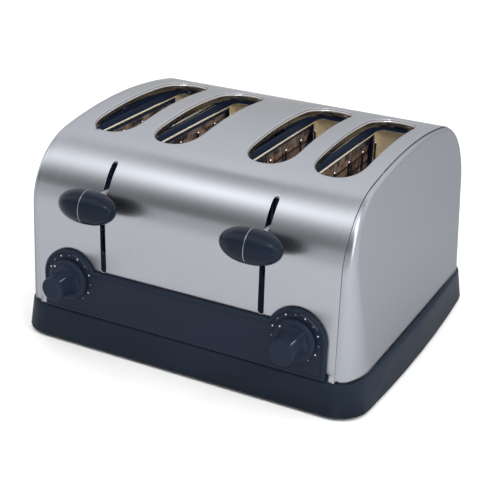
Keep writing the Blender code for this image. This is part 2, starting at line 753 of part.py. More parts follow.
def flanged_slots(sheet):
    """Bread slots whose edges are turned down, so that each lip follows the crown."""
    far_end = abs(SLOT_CENTRE_Y) + SLOT_LENGTH / 2 + SHEET
    high = TOP_Z + OVERRUN
    low = TOP_Z - crown_drop(far_end) - SLOT_LIP - OVERRUN
    where = (0, 0, (high + low) / 2)
    lips = plate_mesh("slot_lips", [slot_outline(x, SHEET) for x in SLOT_CENTRES], high - low)
    tool = cutter("slot_lips", lips, where)
    boolean(tool, body_block("lip_ceiling", SHEET / 2), "INTERSECT")
    cut(tool, body_block("lip_floor", SLOT_LIP))
    join(sheet, tool)
    holes = plate_mesh("slot_holes", [slot_outline(x) for x in SLOT_CENTRES], high - low)
    cut(sheet, cutter("slot_holes", holes, where))


def front_openings(sheet):
    """Lever slots, which run up into the bend, and the dial shafts' holes."""
    slots = []
    for _, side in SIDES:
        slots.append(stadium(side * PAIR_CENTRE, LEVER_SLOT_LOW, LEVER_SLOT_HIGH, LEVER_SLOT_WIDTH))
        slots.append(circle((side * DIAL_X, DIAL_Z), SHAFT_RADIUS + RUNNING_GAP * 2, 16))
    tool = plate_mesh("front_slots", slots, FRONT_BEND_RADIUS * 2)
    cut(sheet, cutter("front_slots", tool, (0, -WRAPPER_FRONT, 0), FACE_FORWARD))


def cap_side_x(y, z):
    """The end cap's side face: slightly bowed in plan, and leaning in towards the top."""
    bow = CAP_SIDE_BOW * (y / WRAPPER_FRONT) ** 2
    climb = (z - DECK_Z) / (TOP_Z - DECK_Z)
    return CAP_SIDE - bow - CAP_SIDE_LEAN * climb


def cap_section(before, at, after):
    """One section of an end cap, from its edge beside the wrapper round the fillet to the side.

    It is flush with the wrapper at the foot, and a small step below it along the top.
    """
    fillet_steps = 4
    hub_shares = (0.72, 0.36)
    along = (Vector(after) - Vector(before)).normalized()
    inward = Vector((along.y, -along.x))
    climb = min(1.0, (at[1] - FLOOR_Z) / (TOP_Z - CAP_CREST - FLOOR_Z))
    fillet = CAP_LOW_FILLET + (CAP_TOP_FILLET - CAP_LOW_FILLET) * climb
    outer = Vector(at) + inward * CAP_STEP * climb
    inner = outer + inward * fillet
    edge = WRAPPER_EDGE + GAP
    run = edge + SHEET
    points = [(edge, *outer)]
    for step in range(fillet_steps + 1):
        angle = math.radians(90 * step / fillet_steps)
        y, z = outer + inward * fillet * (1 - math.cos(angle))
        points.append((run + (cap_side_x(*inner) - run) * math.sin(angle), y, z))
    hub = Vector((0, FLOOR_Z))
    for share in hub_shares:
        y, z = hub + (inner - hub) * share
        points.append((cap_side_x(y, z), y, z))
    return points


def end_cap(name, side):
    """Drawn shell that closes one end of the body, with a fillet that tightens up its edge."""
    outline = body_profile(0, FLOOR_Z)
    front_y, foot_z = outline[0]
    path = [(front_y, foot_z - SHEET)] + outline + [(-front_y, foot_z - SHEET)]
    shape = bmesh.new()
    sections = []
    for before, at, after in zip(path, path[1:], path[2:]):
        points = cap_section(before, at, after)
        sections.append([shape.verts.new((side * x, y, z)) for x, y, z in points])
    for near, far in zip(sections, sections[1:]):
        for i in range(len(near) - 1):
            shape.faces.new((near[i], near[i + 1], far[i + 1], far[i]))
    hub = shape.verts.new((side * cap_side_x(0, FLOOR_Z), 0, FLOOR_Z))
    for near, far in zip(sections, sections[1:]):
        shape.faces.new((near[-1], hub, far[-1]))
    mesh = mesh_from(shape, name)
    outward = sum(face.normal.x * face.area for face in mesh.polygons) * side
    if outward < 0:
        mesh.flip_normals()
    return thicken(place(name, smooth(mesh, 30), STAINLESS))


def control_panel():
    """Front fascia: a straight band with an arch over each dial."""
    high = SKIRT_Z + PANEL_TOP
    reach = math.degrees(math.asin((high - DIAL_Z) / ARCH_RADIUS))
    right_arch = arc((DIAL_X, DIAL_Z), ARCH_RADIUS, 0, 180 - reach, 16)
    left_arch = [(-x, z) for x, z in reversed(right_arch)]
    outline = [(-PANEL_HALF_WIDTH, FLOOR_Z), (PANEL_HALF_WIDTH, FLOOR_Z)] + right_arch + left_arch
    back = WRAPPER_FRONT + GAP
    where = (0, -(PANEL_FRONT + back) / 2, 0)
    thick = PANEL_FRONT - back
    fascia = plate_mesh("control_panel", [outline], thick)
    panel = place("control_panel", fascia, PLASTIC, where, FACE_FORWARD)
    bevel(panel, PANEL_EDGE_ROUND, 2, 60)
    holes = [circle((side * DIAL_X, DIAL_Z), SHAFT_RADIUS + RUNNING_GAP, 12) for _, side in SIDES]
    tool = plate_mesh("shaft_holes", holes, thick + OVERRUN)
    return cut(panel, cutter("shaft_holes", tool, where, FACE_FORWARD))


def grip_section(radius, nose, steps=14):
    """A round section drawn out to a blunt nose along +Y."""
    tangent = math.degrees(math.acos(radius / nose))
    body = arc((0, 0), radius, 90 + tangent, 450 - tangent, steps)
    return body + [(NOSE_HALF_WIDTH, nose), (-NOSE_HALF_WIDTH, nose)]


def grip_mesh(name, skirt_face):
    """The grip: it flares into the skirt, and its ridge runs from the face down and outwards."""
    height_shares = (-0.1, 0.06, 0.2, 0.42, 0.7, 1.0)
    flare_shares = (1.0, 0.78, 0.4, 0.12, 0.0, 0.0)
    body_length = GRIP_LENGTH - GRIP_EDGE
    rings = []
    for height_share, flare_share in zip(height_shares, flare_shares):
        radius = GRIP_RADIUS + GRIP_FLARE * flare_share
        nose = GRIP_FOOT_NOSE + (GRIP_FACE_NOSE - GRIP_FOOT_NOSE) * max(0.0, height_share)
        height = skirt_face + body_length * height_share
        rings.append([(x, y, height) for x, y in grip_section(radius, nose)])
    face = grip_section(GRIP_RADIUS - GRIP_EDGE, GRIP_FACE_NOSE - GRIP_EDGE)
    rings.append([(x, y, skirt_face + GRIP_LENGTH) for x, y in face])
    return smooth(loft_mesh(name, rings), 35)


def dial(name, side):
    """Knob and shaft that turn together about -Y, and the control behind the front."""
    centre = Vector((side * DIAL_X, 0, DIAL_Z))
    axis = pivot(f"{name}_dial_axis", centre - Vector((0, PANEL_FRONT, 0)), MIDDLE)
    knob_back = PANEL_FRONT + RUNNING_GAP
    skirt_face = knob_back + SKIRT_THICK
    profile = [(0, skirt_face), (SKIRT_RADIUS - SKIRT_ROUND * 2, skirt_face),
               (SKIRT_RADIUS - SKIRT_ROUND / 2, skirt_face - SKIRT_ROUND),
               (SKIRT_RADIUS, skirt_face - SKIRT_ROUND * 2), (SKIRT_RADIUS, knob_back), (0, knob_back)]
    knob = turned(f"{name}_knob", profile, PLASTIC, centre, FACE_FORWARD, axis, 28)
    turn = (math.radians(90), DIAL_REST, 0)
    join(knob, cutter(f"{name}_knob_grip", grip_mesh(f"{name}_knob_grip", skirt_face), centre, turn))
    bore = SHAFT_RADIUS + GAP
    bore_end = knob_back + SHAFT_GRIP
    tool = rod_mesh(f"{name}_knob_bore", bore, (0, 0, knob_back - OVERRUN), (0, 0, bore_end), 12)
    cut(knob, cutter(f"{name}_knob_bore", tool, centre, FACE_FORWARD))
    control_front = WRAPPER_FRONT - SHEET - GAP
    shaft_root = control_front - CONTROL_DEEP / 2
    shaft = rod_mesh(f"{name}_dial_shaft", SHAFT_RADIUS, (0, 0, shaft_root), (0, 0, bore_end - GAP), 12)
    place(f"{name}_dial_shaft", shaft, PLATED, centre, FACE_FORWARD, axis)
    half = Vector((CONTROL_WIDTH / 2, CONTROL_TALL / 2, 0))
    low = Vector((0, 0, control_front - CONTROL_DEEP)) - half
    high = Vector((0, 0, control_front)) + half
    body = place(f"{name}_timer", box_mesh(f"{name}_timer", low, high), CERAMIC, centre, FACE_FORWARD)
    bevel(body, CONTROL_EDGE, 1)
    well = rod_mesh(f"{name}_timer_well", bore, (0, 0, shaft_root - GAP), (0, 0, control_front + OVERRUN), 12)
    cut(body, cutter(f"{name}_timer_well", well, centre, FACE_FORWARD))


def carriage(name, side, axis):
    """Lift carriage: crossbar behind, mast, guide sleeve, and the tongue out through the lever slot."""
    x = side * PAIR_CENTRE
    reach = SLOT_PITCH / 2 + CROSSBAR_END
    crossbar = box_mesh(f"{name}_carriage", (x - reach, CARRIAGE_FRONT, CROSSBAR_Z),
                        (x + reach, CARRIAGE_BACK, CROSSBAR_Z + CROSSBAR_TALL))
    lift = place(f"{name}_carriage", crossbar, PLATED, axis=axis)
    mast = box_mesh(f"{name}_mast", (x - MAST_WIDTH / 2, CARRIAGE_FRONT, CROSSBAR_Z + SHEET),
                    (x + MAST_WIDTH / 2, CARRIAGE_BACK, MAST_TOP))
    join(lift, cutter(f"{name}_mast", mast))
    guide_sleeve(name, side, lift)
    tip_y = HANDLE_Y + HANDLE_DEPTH / 2 - TONGUE_REACH
    tongue = box_mesh(f"{name}_tongue", (x - TONGUE_THICK / 2, tip_y, MAST_TOP - TONGUE_TALL),
                      (x + TONGUE_THICK / 2, CARRIAGE_MIDDLE, MAST_TOP - SHEET))
    join(lift, cutter(f"{name}_tongue", tongue))
    latch(name, side, lift, axis)
    return lift


def guide_sleeve(name, side, lift):
    """The carriage's sleeve and web, and the fixed rod that the sleeve runs on."""
    x = side * (PAIR_CENTRE - ROD_OFFSET)
    low = CROSSBAR_Z + SHEET / 2
    sleeve = rod_mesh(f"{name}_sleeve", ROD_RADIUS + GAP + SLEEVE_WALL, (x, ROD_Y, low),
                      (x, ROD_Y, low + SLEEVE_TALL), 16)
    join(lift, cutter(f"{name}_sleeve", sleeve))
    web = box_mesh(f"{name}_web", (x - WEB_THICK / 2, ROD_Y + ROD_RADIUS + GAP * 2, low + SHEET / 2),
                   (x + WEB_THICK / 2, CARRIAGE_MIDDLE, low + SHEET / 2 + WEB_TALL))
    join(lift, cutter(f"{name}_web", web))
    bore = rod_mesh(f"{name}_sleeve_bore", ROD_RADIUS + GAP, (x, ROD_Y, low - OVERRUN),
                    (x, ROD_Y, low + SLEEVE_TALL + OVERRUN), 16)
    cut(lift, cutter(f"{name}_sleeve_bore", bore))
    rod = rod_mesh(f"{name}_guide_rod", ROD_RADIUS, (x, ROD_Y, FLOOR_Z),
                   (x, ROD_Y, CHAMBER_TOP_Z - SHEET - GAP), 12)
    place(f"{name}_guide_rod", rod, PLATED)


def latch(name, side, lift, axis):
    """The keeper on its shelf on the carriage, and the magnet that holds it when the lift is down."""
    x = side * (PAIR_CENTRE - LATCH_OFFSET)
    magnet_top = FLOOR_Z + MAGNET_TALL
    keeper_low = magnet_top + LIFT_TRAVEL + GAP
    shelf_low = keeper_low + KEEPER_THICK + GAP
    shelf = box_mesh(f"{name}_keeper_shelf", (x - KEEPER_SHELF / 2, ROD_Y, shelf_low),
                     (x + KEEPER_SHELF / 2, CARRIAGE_MIDDLE, shelf_low + CARRIAGE_PLATE))
    join(lift, cutter(f"{name}_keeper_shelf", shelf))
    keeper = box_mesh(f"{name}_keeper", (x - KEEPER_WIDTH / 2, ROD_Y - KEEPER_DEEP / 2, keeper_low),
                      (x + KEEPER_WIDTH / 2, ROD_Y + KEEPER_DEEP / 2, keeper_low + KEEPER_THICK))
    place(f"{name}_keeper", keeper, PLATED, axis=axis)
    magnet = box_mesh(f"{name}_magnet", (x - MAGNET_WIDTH / 2, ROD_Y - MAGNET_DEEP / 2, FLOOR_Z),
                      (x + MAGNET_WIDTH / 2, ROD_Y + MAGNET_DEEP / 2, magnet_top))
    bevel(place(f"{name}_magnet", magnet, COIL), MAGNET_EDGE, 1)


def return_spring(name, side):
    """Coil spring between the carriage's crossbar and the front bulkhead's top flange."""
    x = side * (PAIR_CENTRE + SPRING_OFFSET)
    y = CHAMBER_FRONT - SHEET - SPRING_RADIUS - SPRING_WIRE
    top = CHAMBER_TOP_Z - SHEET - GAP
    bottom = CROSSBAR_Z + CROSSBAR_TALL + GAP
    straight = SPRING_WIRE * 2
    climb = top - bottom - 2 * straight
    steps = SPRING_TURNS * SPRING_TURN_POINTS
    path = [(x, y, bottom + SPRING_WIRE / 2)]
    for step in range(steps + 1):
        angle = 2 * math.pi * step / SPRING_TURN_POINTS
        path.append((x + SPRING_RADIUS * math.cos(angle), y + SPRING_RADIUS * math.sin(angle),
                     bottom + straight + climb * step / steps))
    path.append((x, y, top - SPRING_WIRE / 2))
    name = f"{name}_return_spring"
    return place(name, wire_mesh(name, SPRING_WIRE / 2, [path], 0), WIRE)


def handle(name, side, axis):
    """Egg-shaped lever handle in two halves that clamp the carriage's tongue."""
    where = Vector((side * PAIR_CENTRE, HANDLE_Y, HANDLE_Z))
    size = Matrix.Diagonal((HANDLE_LENGTH / 2, HANDLE_DEPTH / 2, HANDLE_TALL / 2, 1))
    across = Matrix.Rotation(math.radians(90), 4, "Y")
    clear = TONGUE_THICK / 2 + GAP
    for half, half_side in (("outer", side), ("inner", -side)):
        shape = bmesh.new()
        bmesh.ops.create_uvsphere(shape, u_segments=18, v_segments=10, radius=1)
        bmesh.ops.transform(shape, matrix=size @ across, verts=shape.verts)
        geometry = shape.verts[:] + shape.edges[:] + shape.faces[:]
        seam = bmesh.ops.bisect_plane(shape, geom=geometry, plane_co=(half_side * HANDLE_SEAM / 2, 0, 0),
                                      plane_no=(-half_side, 0, 0), clear_outer=True, dist=0.01 * MM)
        rim = [item for item in seam["geom_cut"] if isinstance(item, bmesh.types.BMEdge)]
        bmesh.ops.contextual_create(shape, geom=rim)
        mesh = smooth(mesh_from(shape, f"{name}_handle_{half}"), 35)
        piece = place(f"{name}_handle_{half}", mesh, GLOSSY_PLASTIC, where, axis=axis)
        front = HANDLE_DEPTH / 2 - TONGUE_REACH - GAP
        seat = box_mesh(f"{name}_{half}_seat", (-clear, front, MAST_TOP - TONGUE_TALL - HANDLE_Z - GAP),
                        (clear, HANDLE_DEPTH, MAST_TOP - SHEET - HANDLE_Z + GAP))
        cut(piece, cutter(f"{name}_{half}_seat", seat, where))


def bread_rack(number, x, axis):
    """Bread rack: an upright spine with cross bars, and an arm through the front bulkhead."""
    name = f"bread_rack_{number}"
    arm_end = CARRIAGE_BACK + GAP
    back = CHAMBER_REAR - RUNNING_GAP
    first = CHAMBER_FRONT + RACK_BAR_INSET
    last = back - RACK_BAR_INSET
    spine = box_mesh(name, (x - RACK_SPINE / 2, arm_end, RACK_Z),
                     (x + RACK_SPINE / 2, back, RACK_Z + RACK_TALL))
    piece = place(name, spine, WIRE, axis=axis)
    z = RACK_Z + RACK_TALL - RACK_BAR
    bars = []
    for index in range(RACK_BARS):
        y = first + (last - first) * index / (RACK_BARS - 1)
        bars.append((RACK_BAR / 2, (x - RACK_HALF_WIDTH, y, z), (x + RACK_HALF_WIDTH, y, z)))
    return join(piece, cutter(f"{name}_bars", rods_mesh(f"{name}_bars", bars, 6)))


def guard_wires(number, x):
    """Guard wires: hairpins down both sides of a slot and under it, tied by a rail on each side."""
    name = f"guard_wires_{number}"
    low = DECK_Z + GUARD_FOOT
    high = CHAMBER_TOP_Z - GUARD_DROP
    radius = GUARD_WIRE / 2
    rails = []
    for _, side in SIDES:
        rail_x = x + side * (GUARD_HALF_WIDTH + radius * RAIL_OFFSET_SHARE)
        rails.append([(rail_x, y, low + RAIL_RISE) for y in (CHAMBER_FRONT + GAP, CHAMBER_REAR - GAP)])
    piece = place(name, wire_mesh(name, radius, rails, 1), WIRE)
    hairpins = []
    for index in range(GUARD_COUNT):
        y = CHAMBER_REAR - GUARD_REAR - index * GUARD_PITCH
        left = x - GUARD_HALF_WIDTH
        right = x + GUARD_HALF_WIDTH
        hairpins.append([(left, y, high), (left, y, low), (right, y, low), (right, y, high)])
    return join(piece, cutter(f"{name}_hairpins", wire_mesh(f"{name}_hairpins", radius, hairpins, 0)))


def slot_liner(number, x):
    """Slot liner: a four-walled sheet collar below a bread slot."""
    name = f"slot_liner_{number}"
    low = CHAMBER_TOP_Z - LINER_TALL
    front = CHAMBER_FRONT + GAP
    back = CHAMBER_REAR - GAP
    outer = LINER_HALF_WIDTH + SHEET
    piece = place(name, box_mesh(name, (x - outer, front, low), (x + outer, back, CHAMBER_TOP_Z)), GOLDEN)
    inside = box_mesh(f"{name}_inside", (x - LINER_HALF_WIDTH, front + SHEET, low - OVERRUN),
                      (x + LINER_HALF_WIDTH, back - SHEET, CHAMBER_TOP_Z + OVERRUN))
    return cut(piece, cutter(f"{name}_inside", inside))


def element_card(number, x):
    """Heating element card, held between the two bulkheads."""
    name = f"element_card_{number}"
    low = (x - ELEMENT_THICK / 2, CHAMBER_FRONT + GAP, DECK_Z + ELEMENT_FOOT)
    high = (x + ELEMENT_THICK / 2, CHAMBER_REAR - GAP, CHAMBER_TOP_Z - ELEMENT_DROP)
    return place(name, box_mesh(name, low, high), MICA)


def bulkheads():
    """Upright plates that close the toasting chamber. The front one has arm slots and a top flange."""
    half = BULKHEAD_HALF_WIDTH
    front = CHAMBER_FRONT
    wall = box_mesh("front_bulkhead", (-half, front - SHEET, FLOOR_Z), (half, front, CHAMBER_TOP_Z))
    plate = place("front_bulkhead", wall, PLATED)
    flange = box_mesh("front_flange", (-half, front - FLANGE_DEPTH, CHAMBER_TOP_Z - SHEET),
                      (half, front - SHEET / 2, CHAMBER_TOP_Z))
    join(plate, cutter("front_flange", flange))
    top = RACK_Z + RACK_TALL + EXTRA_LIFT + ARM_SLOT_WIDTH
    slots = [stadium(x, FLOOR_Z + ARM_SLOT_FOOT, top, ARM_SLOT_WIDTH, 4) for x in SLOT_CENTRES]
    tool = plate_mesh("arm_slots", slots, OVERRUN * 2)
    cut(plate, cutter("arm_slots", tool, (0, front, 0), FACE_FORWARD))
    rear = CHAMBER_REAR
    wall = box_mesh("rear_bulkhead", (-half, rear, FLOOR_Z), (half, rear + SHEET, CHAMBER_TOP_Z))
    place("rear_bulkhead", wall, PLATED)


def cord_gland():
    """Bush in the back's sheet where the cord comes out."""
    inner_end = WRAPPER_FRONT - SHEET * 2
    flange = WRAPPER_FRONT + GAP
    tip = WRAPPER_FRONT + GLAND_REACH
    profile = [(GLAND_BORE, inner_end), (GLAND_BORE, tip), (GLAND_NECK, tip),
               (GLAND_RADIUS, flange + GLAND_FLANGE), (GLAND_RADIUS, flange), (GLAND_NECK, flange),
               (GLAND_NECK, inner_end)]
    where = (GLAND_X, 0, SKIRT_Z + GLAND_HEIGHT)
    return turned("cord_gland", profile, RUBBER, where, FACE_BACKWARD, segments=16)


def terminal_block():
    """Block with three wells for the mains wires, on the deck inside the gland."""
    rear = WRAPPER_FRONT - SHEET - TERMINAL_STANDOFF
    low = (GLAND_X - TERMINAL_WIDTH / 2, rear - TERMINAL_DEEP, FLOOR_Z)
    high = (GLAND_X + TERMINAL_WIDTH / 2, rear, FLOOR_Z + TERMINAL_TALL)
    block = place("terminal_block", box_mesh("terminal_block", low, high), CERAMIC)
    y = rear - TERMINAL_DEEP / 2
    wells = []
    for x in (GLAND_X - TERMINAL_PITCH, GLAND_X, GLAND_X + TERMINAL_PITCH):
        wells.append((TERMINAL_WELL, (x, y, high[2] - TERMINAL_TALL / 2), (x, y, high[2] + OVERRUN)))
    return cut(block, cutter("terminal_wells", rods_mesh("terminal_wells", wells, 8)))


def build():
    base_tray()
    bottom_plate()
    plate_screws()
    feet()
    crumb_tray()
    wrapper()
    control_panel()
    bulkheads()
    for name, side in SIDES:
        end_cap(f"{name}_end_cap", side)
        dial(name, side)
        axis = pivot(f"{name}_lift_axis", (side * PAIR_CENTRE, ROD_Y, HANDLE_Z), MIDDLE)
        carriage(name, side, axis)
        return_spring(name, side)
        handle(name, side, axis)
        for number, x in enumerate(SLOT_CENTRES, 1):
            if x * side > 0:
                bread_rack(number, x, axis)
    for number, x in enumerate(SLOT_CENTRES, 1):
        guard_wires(number, x)
        slot_liner(number, x)
    cards = [side * PAIR_CENTRE + offset for _, side in SIDES for offset in (-SLOT_PITCH, 0, SLOT_PITCH)]
    for number, x in enumerate(cards, 1):
        element_card(number, x)
    cord_gland()
    terminal_block()


build()
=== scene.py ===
"""Dresses the four-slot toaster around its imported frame.

Lengths are in metres, +Z is up and the front, with its levers and dials, faces -Y. Every new
surface is worked out as arrays: a shape of two parameters on a grid, or a section carried along
a path. The frame's own solids stay where they are; a finer surface stands in for those that show.
"""

import logging
import math
from dataclasses import dataclass, field, replace
from enum import Enum
from typing import Any, Iterable, Optional, Sequence, Union

import bmesh
import bpy
import numpy as np
from mathutils import Matrix, Vector


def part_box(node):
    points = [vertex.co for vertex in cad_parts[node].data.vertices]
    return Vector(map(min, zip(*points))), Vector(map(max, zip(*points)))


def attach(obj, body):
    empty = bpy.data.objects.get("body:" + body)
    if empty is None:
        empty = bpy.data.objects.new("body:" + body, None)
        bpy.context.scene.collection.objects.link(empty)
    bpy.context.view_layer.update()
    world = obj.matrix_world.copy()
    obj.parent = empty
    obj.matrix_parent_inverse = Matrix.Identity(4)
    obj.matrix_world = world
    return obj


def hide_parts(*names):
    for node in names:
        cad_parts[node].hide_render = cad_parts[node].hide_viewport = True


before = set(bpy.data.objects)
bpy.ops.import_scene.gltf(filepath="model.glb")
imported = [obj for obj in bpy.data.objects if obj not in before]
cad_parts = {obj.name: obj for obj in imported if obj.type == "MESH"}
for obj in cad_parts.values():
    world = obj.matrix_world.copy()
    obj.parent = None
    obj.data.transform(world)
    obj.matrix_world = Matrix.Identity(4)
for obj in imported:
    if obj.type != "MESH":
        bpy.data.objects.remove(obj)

LOG = logging.getLogger("toaster")
MM = 0.001
SIDES: tuple[tuple[str, int], ...] = (("left", -1), ("right", 1))
MERGE = 2e-6
ROUND = 2 * math.pi


class Body(Enum):
    """The frame's bodies that a piece can ride on."""

    HOUSING = "housing"
    LEFT_LIFT = "left_lift"
    RIGHT_LIFT = "right_lift"
    LEFT_DIAL = "left_dial"
    RIGHT_DIAL = "right_dial"
    CRUMB_DRAWER = "crumb_drawer"


class Slot(Enum):
    """The record's material slots."""

    STAINLESS = "brushed_stainless"
    PLASTIC = "moulded_plastic"
    GLOSS = "gloss_plastic"
    PLATED = "plated_sheet"
    LINER = "liner_sheet"
    WIRE = "bright_wire"
    MICA = "mica"
    COIL = "coil"
    PALE = "pale_plastic"
    RUBBER = "rubber"


Number = Union[float, "Value"]


class Value:
    """One output socket whose arithmetic adds Math nodes to its material."""

    def __init__(self, nodes: "Nodes", socket: Any) -> None:
        """Keeps the socket and the node sheet that it belongs to."""
        self.nodes = nodes
        self.socket = socket

    def _math(self, operation: str, first: Number, second: Number) -> "Value":
        """Adds one Math node."""
        return self.nodes.add("ShaderNodeMath", {"operation": operation}, {0: first, 1: second})

    def __add__(self, other: Number) -> "Value":
        """The sum."""
        return self._math("ADD", self, other)

    def __mul__(self, other: Number) -> "Value":
        """The product."""
        return self._math("MULTIPLY", self, other)

    def __truediv__(self, other: Number) -> "Value":
        """The quotient."""
        return self._math("DIVIDE", self, other)


class Nodes:
    """A node sheet of a material or of the world."""

    def __init__(self, tree: Any) -> None:
        """Empties the sheet."""
        self.tree = tree
        tree.nodes.clear()

    def add(self, kind: str, settings: Optional[dict[str, Any]] = None,
            inputs: Optional[dict[Any, Any]] = None, output: Any = 0) -> Value:
        """Adds a node of any type.

        Args:
            kind: The node's type.
            settings: Its own settings, set before its sockets; "stops" fills a colour ramp.
            inputs: Values or links of its sockets, by name or number.
            output: The output wanted, by name or number.

        Returns:
            That output.
        """
        node = self.tree.nodes.new(kind)
        for name, setting in (settings or {}).items():
            if name == "stops":
                self._stops(node.color_ramp, setting)
            else:
                setattr(node, name, setting)
        for name, value in (inputs or {}).items():
            if isinstance(value, Value):
                self.tree.links.new(value.socket, node.inputs[name])
            else:
                node.inputs[name].default_value = value
        if not len(node.outputs):
            return Value(self, None)
        return Value(self, node.outputs[output])

    @staticmethod
    def _stops(ramp: Any, stops: Sequence[tuple[float, tuple[float, ...]]]) -> None:
        """Fills a colour ramp.

        Args:
            ramp: The colour ramp.
            stops: Places and colours, in order.
        """
        while len(ramp.elements) < len(stops):
            ramp.elements.new(1.0)
        for element, (place, colour) in zip(ramp.elements, stops):
            element.position = place
            element.color = colour

    def place(self, scale: tuple[float, float, float] = (1, 1, 1)) -> Value:
        """The point on the piece, stretched by a scale."""
        point = self.add("ShaderNodeTexCoord", output="Object")
        return self.add("ShaderNodeMapping", {}, {"Vector": point, "Scale": scale})

    def noise(self, scale: tuple[float, float, float], size: float, detail: float = 3.0) -> Value:
        """Noise about a middle of one half."""
        return self.add("ShaderNodeTexNoise", {},
                        {"Vector": self.place(scale), "Scale": size, "Detail": detail})

    def mix(self, factor: Number, first: Any, second: Any) -> Value:
        """A mix of two colours."""
        return self.add("ShaderNodeMix", {"data_type": "RGBA"}, {0: factor, 6: first, 7: second}, 2)

    def spread(self, value: Number, low: float, high: float, to_low: float, to_high: float) -> Value:
        """A value moved from one range into another, and held inside it."""
        return self.add("ShaderNodeMapRange", {"clamp": True},
                        {0: value, 1: low, 2: high, 3: to_low, 4: to_high})

    def bump(self, height: Value, strength: float, distance: float) -> Value:
        """A bumped normal."""
        return self.add("ShaderNodeBump", {}, {"Height": height, "Strength": strength, "Distance": distance})


def rgb(red: float, green: float, blue: float) -> tuple[float, float, float, float]:
    """An opaque colour from three linear parts."""
    return (red, green, blue, 1.0)


@dataclass(frozen=True)
class Finish:
    """A procedural finish: a colour, a gloss, and how both wander over the surface."""

    name: str
    colour: tuple[float, float, float]
    roughness: float
    metallic: float = 0.0
    colour_wander: float = 0.06
    roughness_wander: float = 0.04
    grain_scale: tuple[float, float, float] = (1.0, 1.0, 1.0)
    grain_size: float = 900.0
    grain_height: float = 0.02 * MM
    grain_strength: float = 0.2
    specular: float = 0.5
    # An emission that stands in for fill light: painted light on a part that is no lamp; only the
    # painted-shade sheet sets it.
    painted_glow: tuple[float, float, float] = (0.0, 0.0, 0.0)

    def make(self) -> bpy.types.Material:
        """Builds the material.

        Returns:
            The material.
        """
        material = bpy.data.materials.new(self.name)
        material.use_nodes = True
        nodes = Nodes(material.node_tree)
        shader = nodes.add("ShaderNodeBsdfPrincipled", {}, {"Metallic": self.metallic, **self.inputs(nodes)})
        nodes.add("ShaderNodeOutputMaterial", {}, {"Surface": shader})
        return material

    def inputs(self, nodes: Nodes) -> dict[str, Any]:
        """The shader's own inputs.

        Args:
            nodes: The material's node sheet.

        Returns:
            Values or links, by socket.
        """
        cloud = nodes.noise((1, 1, 1), 14.0)
        grain = nodes.noise(self.grain_scale, self.grain_size, 2.0)
        worn = self.worn(nodes, cloud * 0.5 + grain * 0.5, cloud * 0.6 + grain * 0.4, 0.15)
        return {**worn, "Normal": nodes.bump(grain, self.grain_strength, self.grain_height),
                "Specular IOR Level": self.specular, "Emission Color": rgb(*self.painted_glow),
                "Emission Strength": 1.0 if any(self.painted_glow) else 0.0}

    def worn(self, nodes: Nodes, tone: Value, polish: Value, spread: float) -> dict[str, Any]:
        """A colour and a gloss that wander with two noises.

        Args:
            nodes: The material's node sheet.
            tone: The noise that the colour follows.
            polish: The noise that the gloss follows.
            spread: How far from one half a noise reaches its ends.

        Returns:
            The colour and the roughness, by socket.
        """
        dark = rgb(*(part * (1 - self.colour_wander) for part in self.colour))
        light = rgb(*(min(1.0, part * (1 + self.colour_wander)) for part in self.colour))
        low, high = 0.5 - spread, 0.5 + spread
        return {"Base Color": nodes.mix(nodes.spread(tone, low, high, 0.0, 1.0), dark, light),
                "Roughness": nodes.spread(polish, low, high, self.roughness - self.roughness_wander,
                                          self.roughness + self.roughness_wander)}


@dataclass(frozen=True)
class Brushed(Finish):
    """Brushed sheet: long fine streaks along one axis in the colour, the gloss and the relief."""

    streak_share: float = 0.5
    across: float = 0.75
    edge_tint: float = 0.6

    def inputs(self, nodes: Nodes) -> dict[str, Any]:
        """The shader's own inputs.

        Args:
            nodes: The material's node sheet.

        Returns:
            Values or links, by socket.
        """
        cloud = nodes.noise((1, 1, 1), 9.0)
        fine = nodes.noise(self.grain_scale, self.grain_size, 2.0)
        coarse = nodes.noise(self.grain_scale, self.grain_size * 0.28, 2.0)
        streaks = fine * self.streak_share + coarse * (1 - self.streak_share)
        worn = self.worn(nodes, streaks * 0.8 + cloud * 0.2, streaks * 0.6 + cloud * 0.4, 0.12)
        return {**worn, "Normal": nodes.bump(streaks, self.grain_strength, self.grain_height),
                "Anisotropic": self.across, "Specular Tint": rgb(*[self.edge_tint] * 3)}


@dataclass(frozen=True)
class Mottled(Finish):
    """Heat-stained card: blotches that run from a shadowed tone over the colour to a pale one."""

    shadow: tuple[float, float, float] = (0.012, 0.018, 0.030)
    pale: tuple[float, float, float] = (0.46, 0.31, 0.24)

    def inputs(self, nodes: Nodes) -> dict[str, Any]:
        """The shader's own inputs.

        Args:
            nodes: The material's node sheet.

        Returns:
            Values or links, by socket.
        """
        blotch = nodes.noise((1, 1, 1), self.grain_size, 4.0)
        streak = nodes.noise((1, 2.4, 0.5), self.grain_size * 1.6, 2.0)
        stops = [(0.40, rgb(*self.shadow)), (0.50, rgb(*self.colour)), (0.62, rgb(*self.pale))]
        colour = nodes.add("ShaderNodeValToRGB", {"stops": stops}, {0: blotch * 0.6 + streak * 0.4})
        return {"Base Color": colour, "Roughness": self.roughness, "Specular IOR Level": self.specular,
                "Normal": nodes.bump(blotch, self.grain_strength, self.grain_height)}


